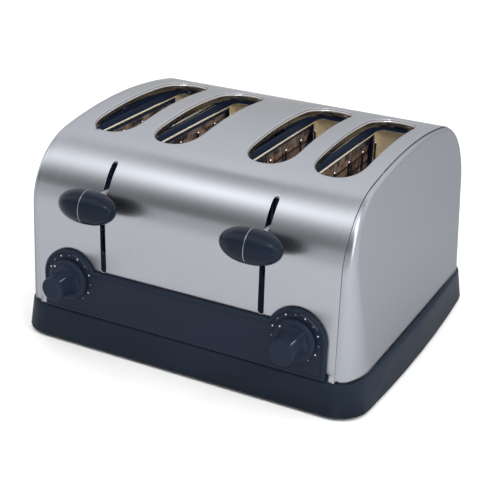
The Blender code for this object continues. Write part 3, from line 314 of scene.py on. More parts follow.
class Palette:
    """The toaster's finishes, each made once."""

    def __init__(self) -> None:
        """Makes every finish."""
        up_the_sheet = (60.0, 1.0, 1.0)
        self.wrapper = Brushed("wrapper_steel", (0.312, 0.324, 0.351), 0.28, 1.0, 0.007, 0.008,
                               up_the_sheet, 26.0, 0.02 * MM, 0.05).make()
        self.cap = Brushed("cap_steel", (0.298, 0.311, 0.342), 0.26, 1.0, 0.012, 0.012,
                           (60.0, 60.0, 1.0), 26.0, 0.02 * MM, 0.08, across=0.4, edge_tint=0.47).make()
        self.lip = Finish("lip_steel", (0.40, 0.38, 0.37), 0.24, 1.0, 0.08, 0.04).make()
        # Painted shade: near-black for steel that lies in shade (the sheets' inner sides, the bulkheads and
        # the card channels' tops); its faint navy painted_glow is painted fill light.
        self.painted_shade_sheet = Finish("shaded_inner_sheet", (0.006, 0.012, 0.024), 0.5, 0.0, 0.2, 0.08,
                                 grain_size=500.0, grain_height=0.01 * MM, grain_strength=0.1, specular=0.2,
                                 painted_glow=(0.006, 0.009, 0.019)).make()
        self.base = Finish("base_plastic", (0.0125, 0.0180, 0.0290), 0.48, 0.0, 0.12, 0.05,
                           grain_size=1400.0, grain_strength=0.15, specular=0.03).make()
        self.panel = Finish("panel_plastic", (0.0110, 0.0160, 0.0290), 0.42, 0.0, 0.12, 0.05,
                            grain_size=1600.0, specular=0.08).make()
        self.knob = Finish("knob_plastic", (0.0125, 0.0180, 0.0320), 0.33, 0.0, 0.12, 0.05,
                           grain_size=1500.0, grain_height=0.015 * MM, grain_strength=0.15,
                           specular=0.06).make()
        self.handle = Finish("handle_plastic", (0.0070, 0.0112, 0.0205), 0.24, 0.0, 0.12, 0.04,
                             grain_size=1500.0, grain_height=0.012 * MM, grain_strength=0.12,
                             specular=0.08).make()
        self.ring = Finish("seam_ring_metal", (0.22, 0.23, 0.25), 0.35, 1.0).make()
        self.ink = Finish("scale_ink", (0.50, 0.52, 0.56), 0.5, 0.0, 0.05).make()
        # Faint print for the half dots; on each knob's ridge strip the same finish is a painted highlight.
        self.faint_ink_and_glint = Finish("faint_ink_and_ridge_glint", (0.13, 0.145, 0.17), 0.5, 0.0, 0.1).make()
        self.pointer = Finish("pointer_ink", (0.055, 0.062, 0.074), 0.5, 0.0, 0.1).make()
        self.plated = Finish("plated_sheet", (0.50, 0.50, 0.50), 0.34, 1.0, 0.12, 0.08,
                             grain_size=350.0, grain_height=0.01 * MM, grain_strength=0.1).make()
        self.stem = Finish("stem_steel", (0.34, 0.35, 0.37), 0.3, 1.0, 0.06, 0.05).make()
        self.liner = Finish("liner_sheet", (0.88, 0.72, 0.46), 0.42, 0.25, 0.08, 0.08,
                            grain_size=300.0, grain_height=0.01 * MM, grain_strength=0.1).make()
        # Bright wire: real on the bread racks; on the guard tips it is a painted glint, and on the collar
        # rims a painted highlight along the rolled edge.
        self.wire = Finish("bright_wire", (0.85, 0.85, 0.84), 0.2, 1.0, 0.05, 0.06).make()
        # Painted shade: bright steel wire darkened to stand in for the dark it reflects inside the slots; the
        # rods and springs share it.
        self.shade_darkened_wire = Finish("shade_darkened_wire", (0.09, 0.10, 0.12), 0.35, 1.0, 0.15, 0.08).make()
        self.mica = Mottled("mica", (0.24, 0.15, 0.11), 0.55, 0.0,
                            grain_size=75.0, grain_height=0.05 * MM, grain_strength=0.3).make()
        # A darker copy of the cards' mottling for the channels' flanks: the extra dark is painted shade below
        # the slot's rim.
        self.band = Mottled("card_band", (0.10, 0.075, 0.065), 0.45, 0.0, grain_size=90.0,
                            grain_height=0.05 * MM, grain_strength=0.3, shadow=(0.008, 0.016, 0.030),
                            pale=(0.32, 0.23, 0.18)).make()
        self.ribbon = Finish("heating_ribbon", (0.10, 0.08, 0.08), 0.42, 0.8, 0.2, 0.08).make()
        self.coil = Finish("magnet_coil", (0.10, 0.04, 0.02), 0.4, 0.6, 0.15, 0.08,
                           (1.0, 1.0, 14.0), 260.0, 0.1 * MM, 0.5).make()
        self.pale = Finish("pale_ceramic", (0.62, 0.60, 0.55), 0.5, 0.0, 0.06, 0.06).make()
        self.rubber = Finish("rubber", (0.012, 0.012, 0.013), 0.62, 0.0, 0.15, 0.06,
                             grain_size=1100.0, grain_height=0.03 * MM, grain_strength=0.3).make()


class Shell:
    """Gathers grids of points into one mesh."""

    def __init__(self) -> None:
        """Starts with nothing."""
        self.points: list[np.ndarray] = []
        self.faces: list[list[int]] = []
        self.count = 0

    def _keep(self, points: np.ndarray) -> int:
        """Adds points.

        Args:
            points: Rows of three coordinates.

        Returns:
            The first point's number.
        """
        first = self.count
        self.points.append(points.reshape(-1, 3))
        self.count += len(self.points[-1])
        return first

    def grid(self, points: np.ndarray, wrap: bool = False, flip: bool = False,
             kept: Optional[np.ndarray] = None) -> None:
        """Adds a grid of quads.

        Args:
            points: Rows by columns by three.
            wrap: Whether the last column joins the first.
            flip: Whether the faces are turned over.
            kept: Which quads are made, rows by columns; None makes all.
        """
        rows, columns = points.shape[:2]
        index = self._keep(points) + np.arange(rows * columns).reshape(rows, columns)
        if wrap:
            index = np.hstack([index, index[:, :1]])
        quads = np.stack([index[:-1, :-1], index[:-1, 1:], index[1:, 1:], index[1:, :-1]], -1)
        quads = quads.reshape(-1, 4) if kept is None else quads[kept]
        if flip:
            quads = quads[:, ::-1]
        self.faces.extend(quads.tolist())

    def polygon(self, points: np.ndarray, flip: bool = False) -> None:
        """Adds one flat face."""
        index = (self._keep(points) + np.arange(len(points))).tolist()
        self.faces.append(index[::-1] if flip else index)

    def tube(self, path: np.ndarray, radius: float, segments: int = 10) -> None:
        """Adds a round bar: a circle carried along a path, with the frame turned as little as possible.

        Args:
            path: Points of the middle line.
            radius: The bar's radius.
            segments: Points around the circle.
        """
        along = np.gradient(path, axis=0)
        along /= np.linalg.norm(along, axis=1, keepdims=True)
        start = np.array((0.0, 0.0, 1.0)) if abs(along[0, 2]) < 0.9 else np.array((1.0, 0.0, 0.0))
        across = [start - along[0] * (start @ along[0])]
        for heading in along[1:]:
            across.append(across[-1] - heading * (across[-1] @ heading))
        side = np.array(across)
        side /= np.linalg.norm(side, axis=1, keepdims=True)
        other = np.cross(along, side)
        angle = np.linspace(0, ROUND, segments, endpoint=False)
        ring = side[:, None] * np.cos(angle)[None, :, None] + other[:, None] * np.sin(angle)[None, :, None]
        points = path[:, None] + ring * radius
        self.grid(points, wrap=True, flip=True)
        self.polygon(points[0])
        self.polygon(points[-1], flip=True)

    def box(self, low: Sequence[float], high: Sequence[float]) -> None:
        """Adds a closed block.

        Args:
            low: Its lowest corner.
            high: Its highest corner.
        """
        a, b = np.array(low), np.array(high)
        corner = np.array([[a[0], a[1], a[2]], [b[0], a[1], a[2]], [b[0], b[1], a[2]], [a[0], b[1], a[2]]])
        top = corner + np.array((0, 0, b[2] - a[2]))
        self.polygon(corner[::-1])
        self.polygon(top)
        self.grid(np.stack([corner, top]), wrap=True)

    def capped(self, rings: Sequence[np.ndarray]) -> None:
        """Adds rings joined one to the next, with a flat face at each end.

        Args:
            rings: The rings, in order.
        """
        self.grid(np.array(rings), wrap=True)
        self.polygon(rings[-1])
        self.polygon(rings[0], flip=True)

    def mesh(self, name: str, angle: Optional[float] = 35.0, closed: bool = False) -> bpy.types.Mesh:
        """Merges what was gathered.

        Args:
            name: The mesh's name.
            angle: Edges sharper than this many degrees stay sharp; None leaves all smooth.
            closed: Whether the shape is closed, so that its faces are turned outwards.

        Returns:
            The mesh.
        """
        made = bpy.data.meshes.new(name)
        made.from_pydata(np.concatenate(self.points).tolist(), [], self.faces)
        return tidied(made, angle, closed)


def tidied(mesh: bpy.types.Mesh, angle: Optional[float], closed: bool) -> bpy.types.Mesh:
    """Merges doubles and sets the shading.

    Args:
        mesh: The mesh.
        angle: Edges sharper than this many degrees stay sharp; None leaves all smooth.
        closed: Whether its faces are turned outwards.

    Returns:
        The same mesh.
    """
    shape = bmesh.new()
    shape.from_mesh(mesh)
    bmesh.ops.remove_doubles(shape, verts=shape.verts, dist=MERGE)
    bmesh.ops.dissolve_degenerate(shape, dist=MERGE / 4, edges=shape.edges)
    if closed:
        bmesh.ops.recalc_face_normals(shape, faces=shape.faces)
    shape.to_mesh(mesh)
    shape.free()
    mesh.shade_smooth()
    if angle is not None:
        mesh.set_sharp_from_angle(angle=math.radians(angle))
    return mesh


def add_piece(name: str, mesh: bpy.types.Mesh, material: bpy.types.Material, body: Body,
              stands_for: Iterable[str] = ()) -> bpy.types.Object:
    """Puts a finished mesh into the scene and on its body.

    Args:
        name: The piece's name.
        mesh: Its mesh, already in place.
        material: Its finish.
        body: The body that it rides on.
        stands_for: The frame's nodes that it replaces.

    Returns:
        The piece.
    """
    mesh.materials.clear()
    mesh.materials.append(material)
    piece = bpy.data.objects.new(name, mesh)
    bpy.context.scene.collection.objects.link(piece)
    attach(piece, body.value)
    nodes = list(stands_for)
    if nodes:
        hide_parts(*nodes)
    LOG.info("%s: %d faces on %s", name, len(mesh.polygons), body.value)
    return piece


def smooth_copy(node: str, name: str, material: bpy.types.Material, body: Body, slot: Slot,
                angle: float = 32.0) -> bpy.types.Object:
    """A copy of one of the frame's nodes with its corners merged and its round faces smooth."""
    mesh = tidied(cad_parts[node].data.copy(), angle, False)
    return add_piece(name, mesh, material, body, [node])


def finish_node(node: str, material: bpy.types.Material) -> None:
    """Gives one of the frame's own nodes a finish.

    Args:
        node: The node.
        material: Its finish.
    """
    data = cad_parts[node].data
    data.materials.clear()
    data.materials.append(material)


def add_wall(piece: bpy.types.Object, thickness: float, inside: bpy.types.Material) -> None:
    """Gives an open surface its wall, inwards, with a finish of its own on the inner side; every call gives
    the painted-shade sheet, near-black steel that stands in for shade.

    Args:
        piece: The piece.
        thickness: The wall's thickness.
        inside: The inner side's finish.
    """
    piece.data.materials.append(inside)
    wall = piece.modifiers.new("Wall", "SOLIDIFY")
    wall.thickness = thickness
    wall.offset = -1.0
    wall.material_offset = 1


def signed_power(value: np.ndarray, power: float) -> np.ndarray:
    """A power that keeps the sign."""
    return np.sign(value) * np.abs(value) ** power


@dataclass
class Profile:
    """The body's section: an upright front, a round bend, a shallow crown, a wider bend and an upright back.

    A point on it is given by its distance along the section from the front's foot. Values of two
    entries hold the front's and the rear's.
    """

    foot_z: float = 30.8 * MM
    top_z: float = 179.0 * MM
    half_depth: float = 128.7 * MM
    middle_y: float = 9.8 * MM
    bends: tuple[float, float] = (58.0 * MM, 64.0 * MM)
    crown: float = 420.0 * MM

    def __post_init__(self) -> None:
        """Works out where each upright, its bend and the crown meet."""
        self.bend = np.array(self.bends)
        self.bend_y = self.half_depth - self.bend
        rise = np.sqrt((self.crown - self.bend) ** 2 - self.bend_y ** 2)
        self.bend_z = self.top_z - self.crown + rise
        self.tilt = np.arctan2(self.bend_y, rise)
        self.upright = self.bend_z - self.foot_z
        self.turned = self.upright + self.bend * (math.pi / 2 - self.tilt)
        self.reach = self.turned + self.crown * self.tilt
        self.length = float(self.reach.sum())

    def at(self, along: np.ndarray) -> tuple[np.ndarray, np.ndarray, np.ndarray, np.ndarray]:
        """Points and outward normals: a straight, then an arc about the bend's centre, then the crown's arc.

        Args:
            along: Distances from the front's foot.

        Returns:
            y, z, and the normal's y and z.
        """
        rear = (along > self.reach[0]).astype(int)
        folded = np.where(rear == 1, self.length - along, along)
        bend, tilt = self.bend[rear], self.tilt[rear]
        turn = np.clip((folded - self.upright[rear]) / bend, 0, math.pi / 2 - tilt)
        crowned = folded > self.turned[rear]
        slope = np.where(crowned, tilt - np.clip((folded - self.turned[rear]) / self.crown, 0, tilt), 0.0)
        y = np.where(crowned, self.crown * np.sin(slope), self.bend_y[rear] + bend * np.cos(turn))
        z = np.where(crowned, self.top_z - self.crown * (1 - np.cos(slope)),
                     self.bend_z[rear] + bend * np.sin(turn))
        z = np.where(folded < self.upright[rear], self.foot_z + folded, z)
        normal_y = np.where(crowned, np.sin(slope), np.cos(turn))
        normal_z = np.where(crowned, np.cos(slope), np.sin(turn))
        side = 2 * rear - 1
        return self.middle_y + side * y, z, side * normal_y, normal_z

    def along_of(self, y: np.ndarray) -> np.ndarray:
        """The distance along the section of a point on the crown."""
        return self.reach[0] + self.crown * np.arcsin((y - self.middle_y) / self.crown)


@dataclass
class Opening:
    """A hole with straight sides and rounded ends, as a loop of points around it.

    Each end is a superellipse: across = half cos^p, along = end sin^p.
    """

    centre: float
    half: float
    end: float
    low: float
    high: float
    power: float = 1.0
    roll: float = 0.0

    def edge(self, angle: np.ndarray, upper: bool) -> np.ndarray:
        """Points on one end, moved out by the roll along the outline's normal.

        Args:
            angle: From 0 on the +X side to pi on the -X side.
            upper: Whether it is the far end.

        Returns:
            Rows of x and the place along.
        """
        cosine, sine = np.cos(angle), np.maximum(np.sin(angle), 0.0)
        across = self.half * signed_power(cosine, self.power)
        along = self.end * sine ** self.power
        normal = np.stack([self.end * signed_power(cosine, 2 - self.power),
                           self.half * sine ** (2 - self.power)], -1)
        normal /= np.linalg.norm(normal, axis=1, keepdims=True)
        across = across + self.roll * normal[:, 0]
        along = along + self.roll * normal[:, 1]
        return np.stack([self.centre + across, self.high + along if upper else self.low - along], -1)

    def side(self, along: np.ndarray, direction: int) -> np.ndarray:
        """Points on one straight side."""
        across = self.centre + direction * (self.half + self.roll)
        return np.stack([np.full_like(along, across), along], -1)


@dataclass
class Wrapper:
    """The bent stainless sheet: front, crowned top with four flanged slots, and back."""

    profile: Profile
    edge: float = 132.5 * MM
    sheet: float = 1.0 * MM
    edge_round: float = 0.15 * MM
    slot_centres: tuple[float, ...] = (-98.2 * MM, -41.8 * MM, 41.8 * MM, 98.2 * MM)
    slot_half: float = 19.6 * MM
    slot_reach: float = 73.5 * MM
    slot_end: float = 28.0 * MM
    slot_middle_y: float = 4.4 * MM
    slot_power: float = 2 / 2.4
    slot_roll: float = 1.6 * MM
    slot_lip: float = 7.5 * MM
    cell_half: float = 28.2 * MM
    lever_x: float = 70.0 * MM
    lever_half: float = 2.5 * MM
    lever_low_z: float = 71.8 * MM
    lever_high_z: float = 158.5 * MM
    lever_cell: float = 4.0 * MM
    gland_x: float = -92.0 * MM
    gland_z: float = 49.0 * MM
    gland_hole: float = 6.3 * MM
    gland_cell: float = 10.0 * MM
    hem_start: float = 125.8 * MM
    hem_deep: float = 0.9 * MM
    hem_tall: float = 5.5 * MM
    hem_sheet: float = 0.4 * MM
    hem_gap: float = 0.02 * MM
    pitch: float = 6.3 * MM
    pitch_gap: float = 1.0 * MM
    lever_under: float = 3.0 * MM
    lever_over: float = 2.0 * MM
    corner_angle: float = math.radians(40)
    shell: Shell = field(default_factory=Shell)
    lips: Shell = field(default_factory=Shell)

    def lay(self, x: np.ndarray, along: np.ndarray) -> np.ndarray:
        """Lays points on the sheet: the section's point, lowered near the two edges by a small quarter round.

        Args:
            x: The places across.
            along: The places along the section.

        Returns:
            The points.
        """
        y, z, normal_y, normal_z = self.profile.at(along)
        into = np.clip(np.abs(x) - (self.edge - self.edge_round), 0, self.edge_round)
        drop = self.edge_round - np.sqrt(np.maximum(self.edge_round ** 2 - into ** 2, 0))
        return np.stack([x + 0 * along, y - normal_y * drop, z - normal_z * drop], -1)

    def plain(self, x: np.ndarray, along: np.ndarray) -> None:
        """Adds a whole patch."""
        across, up = np.meshgrid(x, along)
        self.shell.grid(self.lay(across, up))

    def between(self, inner: np.ndarray, outer: np.ndarray, flip: bool, rings: int = 7) -> None:
        """Adds the patch between a hole's edge and its cell's edge, by straight lines in the unrolled sheet.

        Args:
            inner: Points on the hole's edge, unrolled.
            outer: As many points on the cell's edge.
            flip: Whether the faces are turned over.
            rings: How many rows it has.
        """
        share = np.linspace(0, 1, rings)[:, None, None] ** 1.4
        flat = inner[None] * (1 - share) + outer[None] * share
        self.shell.grid(self.lay(flat[..., 0], flat[..., 1]), flip=flip)

    def turns(self, rise: np.ndarray, x: np.ndarray) -> np.ndarray:
        """Angles round one end of a hole, one for each point round its end of the cell.

        Args:
            rise: The places along the cell's end.
            x: The places across it.

        Returns:
            Angles from 0 to pi.
        """
        corner = self.corner_angle
        return np.concatenate([np.linspace(0, corner, len(rise)),
                               np.linspace(corner, math.pi - corner, len(x))[1:-1],
                               np.linspace(math.pi - corner, math.pi, len(rise))])

    def punched(self, hole: Opening, x: np.ndarray, low: np.ndarray, middle: np.ndarray, high: np.ndarray,
                unroll: bool) -> None:
        """Adds a cell of the sheet with a hole in it: two strips beside it and a half ring at each end.

        Args:
            hole: The hole.
            x: The places across the cell.
            low: The places along it below the hole's straight part.
            middle: The places along the straight part.
            high: The places along it above.
            unroll: Whether the hole is given by y on the crown.
        """
        def flat(points: np.ndarray) -> np.ndarray:
            """Turns a hole's points into unrolled ones."""
            if not unroll:
                return points
            return np.stack([points[:, 0], self.profile.along_of(points[:, 1])], -1)

        middle_y = self.profile.at(middle)[0] if unroll else middle
        if len(middle) > 1:
            for direction, edge_x in ((1, x[-1]), (-1, x[0])):
                outer = np.stack([np.full_like(middle, edge_x), middle], -1)
                self.between(flat(hole.side(middle_y, direction)), outer, flip=direction > 0)
        for upper, rise in ((True, high), (False, low[::-1])):
            right = np.stack([np.full_like(rise, x[-1]), rise], -1)
            far = np.stack([x[::-1], np.full_like(x, rise[-1])], -1)
            left = np.stack([np.full_like(rise, x[0]), rise], -1)[::-1]
            outer = np.concatenate([right, far[1:-1], left])
            self.between(flat(hole.edge(self.turns(rise, x), upper)), outer, flip=upper)

    def lip(self, hole: Opening, low: np.ndarray, middle: np.ndarray, high: np.ndarray,
            x: np.ndarray) -> None:
        """Adds a turned-down lip: a quarter round from the top into the hole, then straight down.

        Args:
            hole: The hole.
            low: The places along the cell below the straight part.
            middle: The places along the straight part.
            high: The places along it above.
            x: The places across the cell.
        """
        middle_y = self.profile.at(middle)[0]
        far, near = self.turns(high, x), self.turns(low, x)

        def loop(roll: float) -> np.ndarray:
            """The whole loop at one reach of the roll."""
            at = replace(hole, roll=roll)
            return np.concatenate([at.side(middle_y, 1), at.edge(far, True)[1:-1],
                                   at.side(middle_y, -1)[::-1], at.edge(near, False)[::-1][1:-1]])

        rows = []
        turns = np.linspace(0, math.pi / 2, 7)
        reach = self.slot_roll * (1 - np.sin(turns))
        drop = self.slot_roll * (1 - np.cos(turns))
        deeper = np.linspace(self.slot_roll, self.slot_lip, 4)[1:]
        for one_reach, one_drop in zip(np.append(reach, np.zeros(3)), np.append(drop, deeper)):
            plan = loop(float(one_reach))
            _, z, _, _ = self.profile.at(self.profile.along_of(plan[:, 1]))
            rows.append(np.stack([plan[:, 0], plan[:, 1], z - one_drop], -1))
        self.shell.grid(np.array(rows[:len(turns)]), wrap=True)
        self.lips.grid(np.array(rows[len(turns) - 1:]), wrap=True)

    def hems(self, palette: Palette) -> None:
        """Adds the small flare at each front corner's foot: a quarter round that leaves the sheet.

        Args:
            palette: The finishes.
        """
        turn = np.linspace(0, math.pi / 2, 9)[:, None]
        front = self.profile.middle_y - self.profile.half_depth - self.hem_gap
        y = front - self.hem_deep * (1 - np.cos(turn))
        z = self.profile.foot_z + self.hem_tall * (1 - np.sin(turn))
        for name, side in SIDES:
            x = side * np.linspace(self.hem_start, self.edge, 3)
            shell = Shell()
            shell.grid(np.stack(np.broadcast_arrays(x, y, z), -1), flip=side > 0)
            piece = f"{name}_front_hem"
            made = add_piece(piece, shell.mesh(piece, 40), palette.wrapper, Body.HOUSING)
            # The hem's inner side takes the painted-shade sheet.
            add_wall(made, self.hem_sheet, palette.painted_shade_sheet)

    def build(self, palette: Palette) -> bpy.types.Object:
        """Builds the sheet.

        Args:
            palette: The finishes.

        Returns:
            The piece.
        """
        profile = self.profile
        upright, turned = profile.upright[0], profile.turned[0]
        climb = math.asin((self.lever_high_z - profile.bend_z[0]) / profile.bend[0])
        lever = Opening(0.0, self.lever_half, self.lever_half,
                        self.lever_low_z - profile.foot_z + self.lever_half,
                        upright + profile.bend[0] * climb - self.lever_half)
        rounded = self.edge - self.edge_round * (1 - np.sin(np.linspace(0, math.pi / 2, 4)))
        inner, outer = self.slot_centres[2:]
        marks = [inner + self.cell_half, outer + self.cell_half, inner - self.cell_half]
        cell = np.linspace(self.lever_x - self.lever_cell, self.lever_x + self.lever_cell, 9)
        gland = self.gland_x + self.gland_cell * np.linspace(-1, 1, 9)
        half = np.concatenate([marks, cell, rounded])
        fixed = np.concatenate([-half, half, gland])
        loose = np.arange(-self.edge, self.edge, self.pitch)
        loose = loose[np.abs(loose[:, None] - fixed).min(1) > self.pitch_gap]
        x = np.unique(np.round(np.concatenate([fixed, loose]), 7))

        def span(low: float, high: float) -> np.ndarray:
            """The places across between two marks."""
            return x[(x >= low - MERGE) & (x <= high + MERGE)]

        below = np.linspace(lever.low - self.lever_half - self.lever_under, lever.low, 6)
        beside = np.concatenate([np.linspace(lever.low, upright, 10),
                                 np.linspace(upright, lever.high, 26)[1:]])
        above = np.linspace(lever.high, turned - self.lever_over, 14)
        self.plain(x, np.linspace(0, below[0], 5))
        for rows in (below, beside, above):
            self.plain(span(-self.edge, -self.lever_x - self.lever_cell), rows)
            self.plain(span(-self.lever_x + self.lever_cell, self.lever_x - self.lever_cell), rows)
            self.plain(span(self.lever_x + self.lever_cell, self.edge), rows)
        for side in (-1, 1):
            hole = Opening(side * self.lever_x, lever.half, lever.end, lever.low, lever.high)
            cell = span(side * self.lever_x - self.lever_cell, side * self.lever_x + self.lever_cell)
            self.punched(hole, cell, below, beside, above, False)
        self.plain(x, np.linspace(above[-1], turned, 3))

        straight = self.slot_reach - self.slot_end
        starts = [profile.along_of(np.array(self.slot_middle_y + side * straight)).item() for side in (-1, 1)]
        rear_turn = profile.length - profile.turned[1]
        low = np.linspace(turned, starts[0], 15)
        middle = np.linspace(starts[0], starts[1], 17)
        high = np.linspace(starts[1], rear_turn, 15)
        for rows in (low, middle, high):
            self.plain(span(-self.edge, self.slot_centres[0] - self.cell_half), rows)
            self.plain(span(self.cell_half - inner, inner - self.cell_half), rows)
            self.plain(span(self.slot_centres[3] + self.cell_half, self.edge), rows)
        for centre in self.slot_centres:
            hole = Opening(centre, self.slot_half, self.slot_end, self.slot_middle_y - straight,
                           self.slot_middle_y + straight, self.slot_power, self.slot_roll)
            cell = span(centre - self.cell_half, centre + self.cell_half)
            self.punched(hole, cell, low, middle, high, True)
            self.lip(hole, low, middle, high, cell)

        gland_along = profile.length - (self.gland_z - profile.foot_z)
        rear = np.linspace(rear_turn, profile.length - profile.upright[1], 34)
        back = np.linspace(rear[-1], gland_along - self.gland_cell, 9)
        rise = [np.linspace(gland_along - self.gland_cell, gland_along, 5),
                np.linspace(gland_along, gland_along + self.gland_cell, 5)]
        self.plain(x, rear)
        self.plain(x, back)
        for rows in rise:
            self.plain(span(-self.edge, self.gland_x - self.gland_cell), rows)
            self.plain(span(self.gland_x + self.gland_cell, self.edge), rows)
        hole = Opening(self.gland_x, self.gland_hole, self.gland_hole, gland_along, gland_along)
        cell = span(self.gland_x - self.gland_cell, self.gland_x + self.gland_cell)
        self.punched(hole, cell, rise[0], np.array([gland_along]), rise[1], False)
        self.plain(x, np.linspace(rise[1][-1], profile.length, 4))
        piece = add_piece("body_wrapper", self.shell.mesh("body_wrapper", 40), palette.wrapper, Body.HOUSING,
                          ["wrapper"])
        # The inner sides of the wrapper and lips take the painted-shade sheet: painted shade on steel.
        add_wall(piece, self.sheet, palette.painted_shade_sheet)
        self.hems(palette)
        lips = add_piece("bread_slot_lips", self.lips.mesh("bread_slot_lips", 40), palette.lip, Body.HOUSING)
        add_wall(lips, self.sheet, palette.painted_shade_sheet)
        return piece


@dataclass
class EndCap:
    """A drawn shell that closes one end, with a fillet that tightens as it climbs."""

    profile: Profile
    edge: float = 132.6 * MM
    run: float = 133.8 * MM
    side: float = 150.4 * MM
    bow: float = 1.2 * MM
    lean: float = 14.0 * MM
    deck_z: float = 30.5 * MM
    low_fillet: float = 30.0 * MM
    top_fillet: float = 5.0 * MM
    crest: float = 22.0 * MM
    step: float = 0.7 * MM
    edge_round: float = 0.15 * MM
    sheet: float = 1.0 * MM

    def side_x(self, y: np.ndarray, z: np.ndarray) -> np.ndarray:
        """The side's reach: bowed in plan with the square of y, and leaning in evenly with the height."""
        climb = (z - self.deck_z) / (self.profile.top_z - self.deck_z)
        return self.side - self.bow * (y / self.profile.half_depth) ** 2 - self.lean * climb

    def build(self, name: str, hand: int, palette: Palette) -> bpy.types.Object:
        """Builds one cap: rows go round the section and columns over the fillet, and chords fill the side.

        Args:
            name: Its name.
            hand: 1 for the +X end and -1 for the other.
            palette: The finishes.

        Returns:
            The piece.
        """
        profile = self.profile
        ends = [np.concatenate([np.linspace(0, upright, 24), np.linspace(upright, turned, 44)[1:],
                                np.linspace(turned, reach, 24)[1:]])
                for upright, turned, reach in zip(profile.upright, profile.turned, profile.reach)]
        along = np.concatenate([ends[0], (profile.length - ends[1][:-1])[::-1]])
        y, z, normal_y, normal_z = profile.at(along)
        climb = np.clip((z - profile.foot_z) / (profile.top_z - self.crest - profile.foot_z), 0, 1)
        fillet = self.low_fillet + (self.top_fillet - self.low_fillet) * climb
        y, z = y - profile.middle_y - normal_y * self.step * climb, z - normal_z * self.step * climb
        inner_y, inner_z = y - normal_y * fillet, z - normal_z * fillet
        reach = self.side_x(inner_y, inner_z)
        columns = []
        for turn in np.linspace(0, math.pi / 2, 4):
            drop = self.edge_round * (1 - math.sin(turn))
            columns.append(np.stack([np.full_like(y, self.edge + self.edge_round * (1 - math.cos(turn))),
                                     y - normal_y * drop, z - normal_z * drop], -1))
        for turn in np.linspace(0, math.pi / 2, 17):
            into = fillet * (1 - math.cos(turn))
            columns.append(np.stack([self.run + (reach - self.run) * math.sin(turn),
                                     y - normal_y * into, z - normal_z * into], -1))
        rows, share = len(along) // 2 + 1, np.linspace(0, 1, 33)
        part_y = inner_y[:rows, None] * (1 - share) + inner_y[::-1][:rows, None] * share
        part_z = inner_z[:rows, None] * (1 - share) + inner_z[::-1][:rows, None] * share
        shell = Shell()
        for points in (np.stack(columns, 1), np.stack([self.side_x(part_y, part_z), part_y, part_z], -1)):
            points[..., 1] += profile.middle_y
            points[..., 0] *= hand
            shell.grid(points, flip=hand < 0)
        piece = f"{name}_cap"
        made = add_piece(piece, shell.mesh(piece, 40), palette.cap, Body.HOUSING,
                         [f"{name}_end_cap"])
        # The cap's inner side takes the painted-shade sheet: painted shade on steel.
        add_wall(made, self.sheet, palette.painted_shade_sheet)
        return made


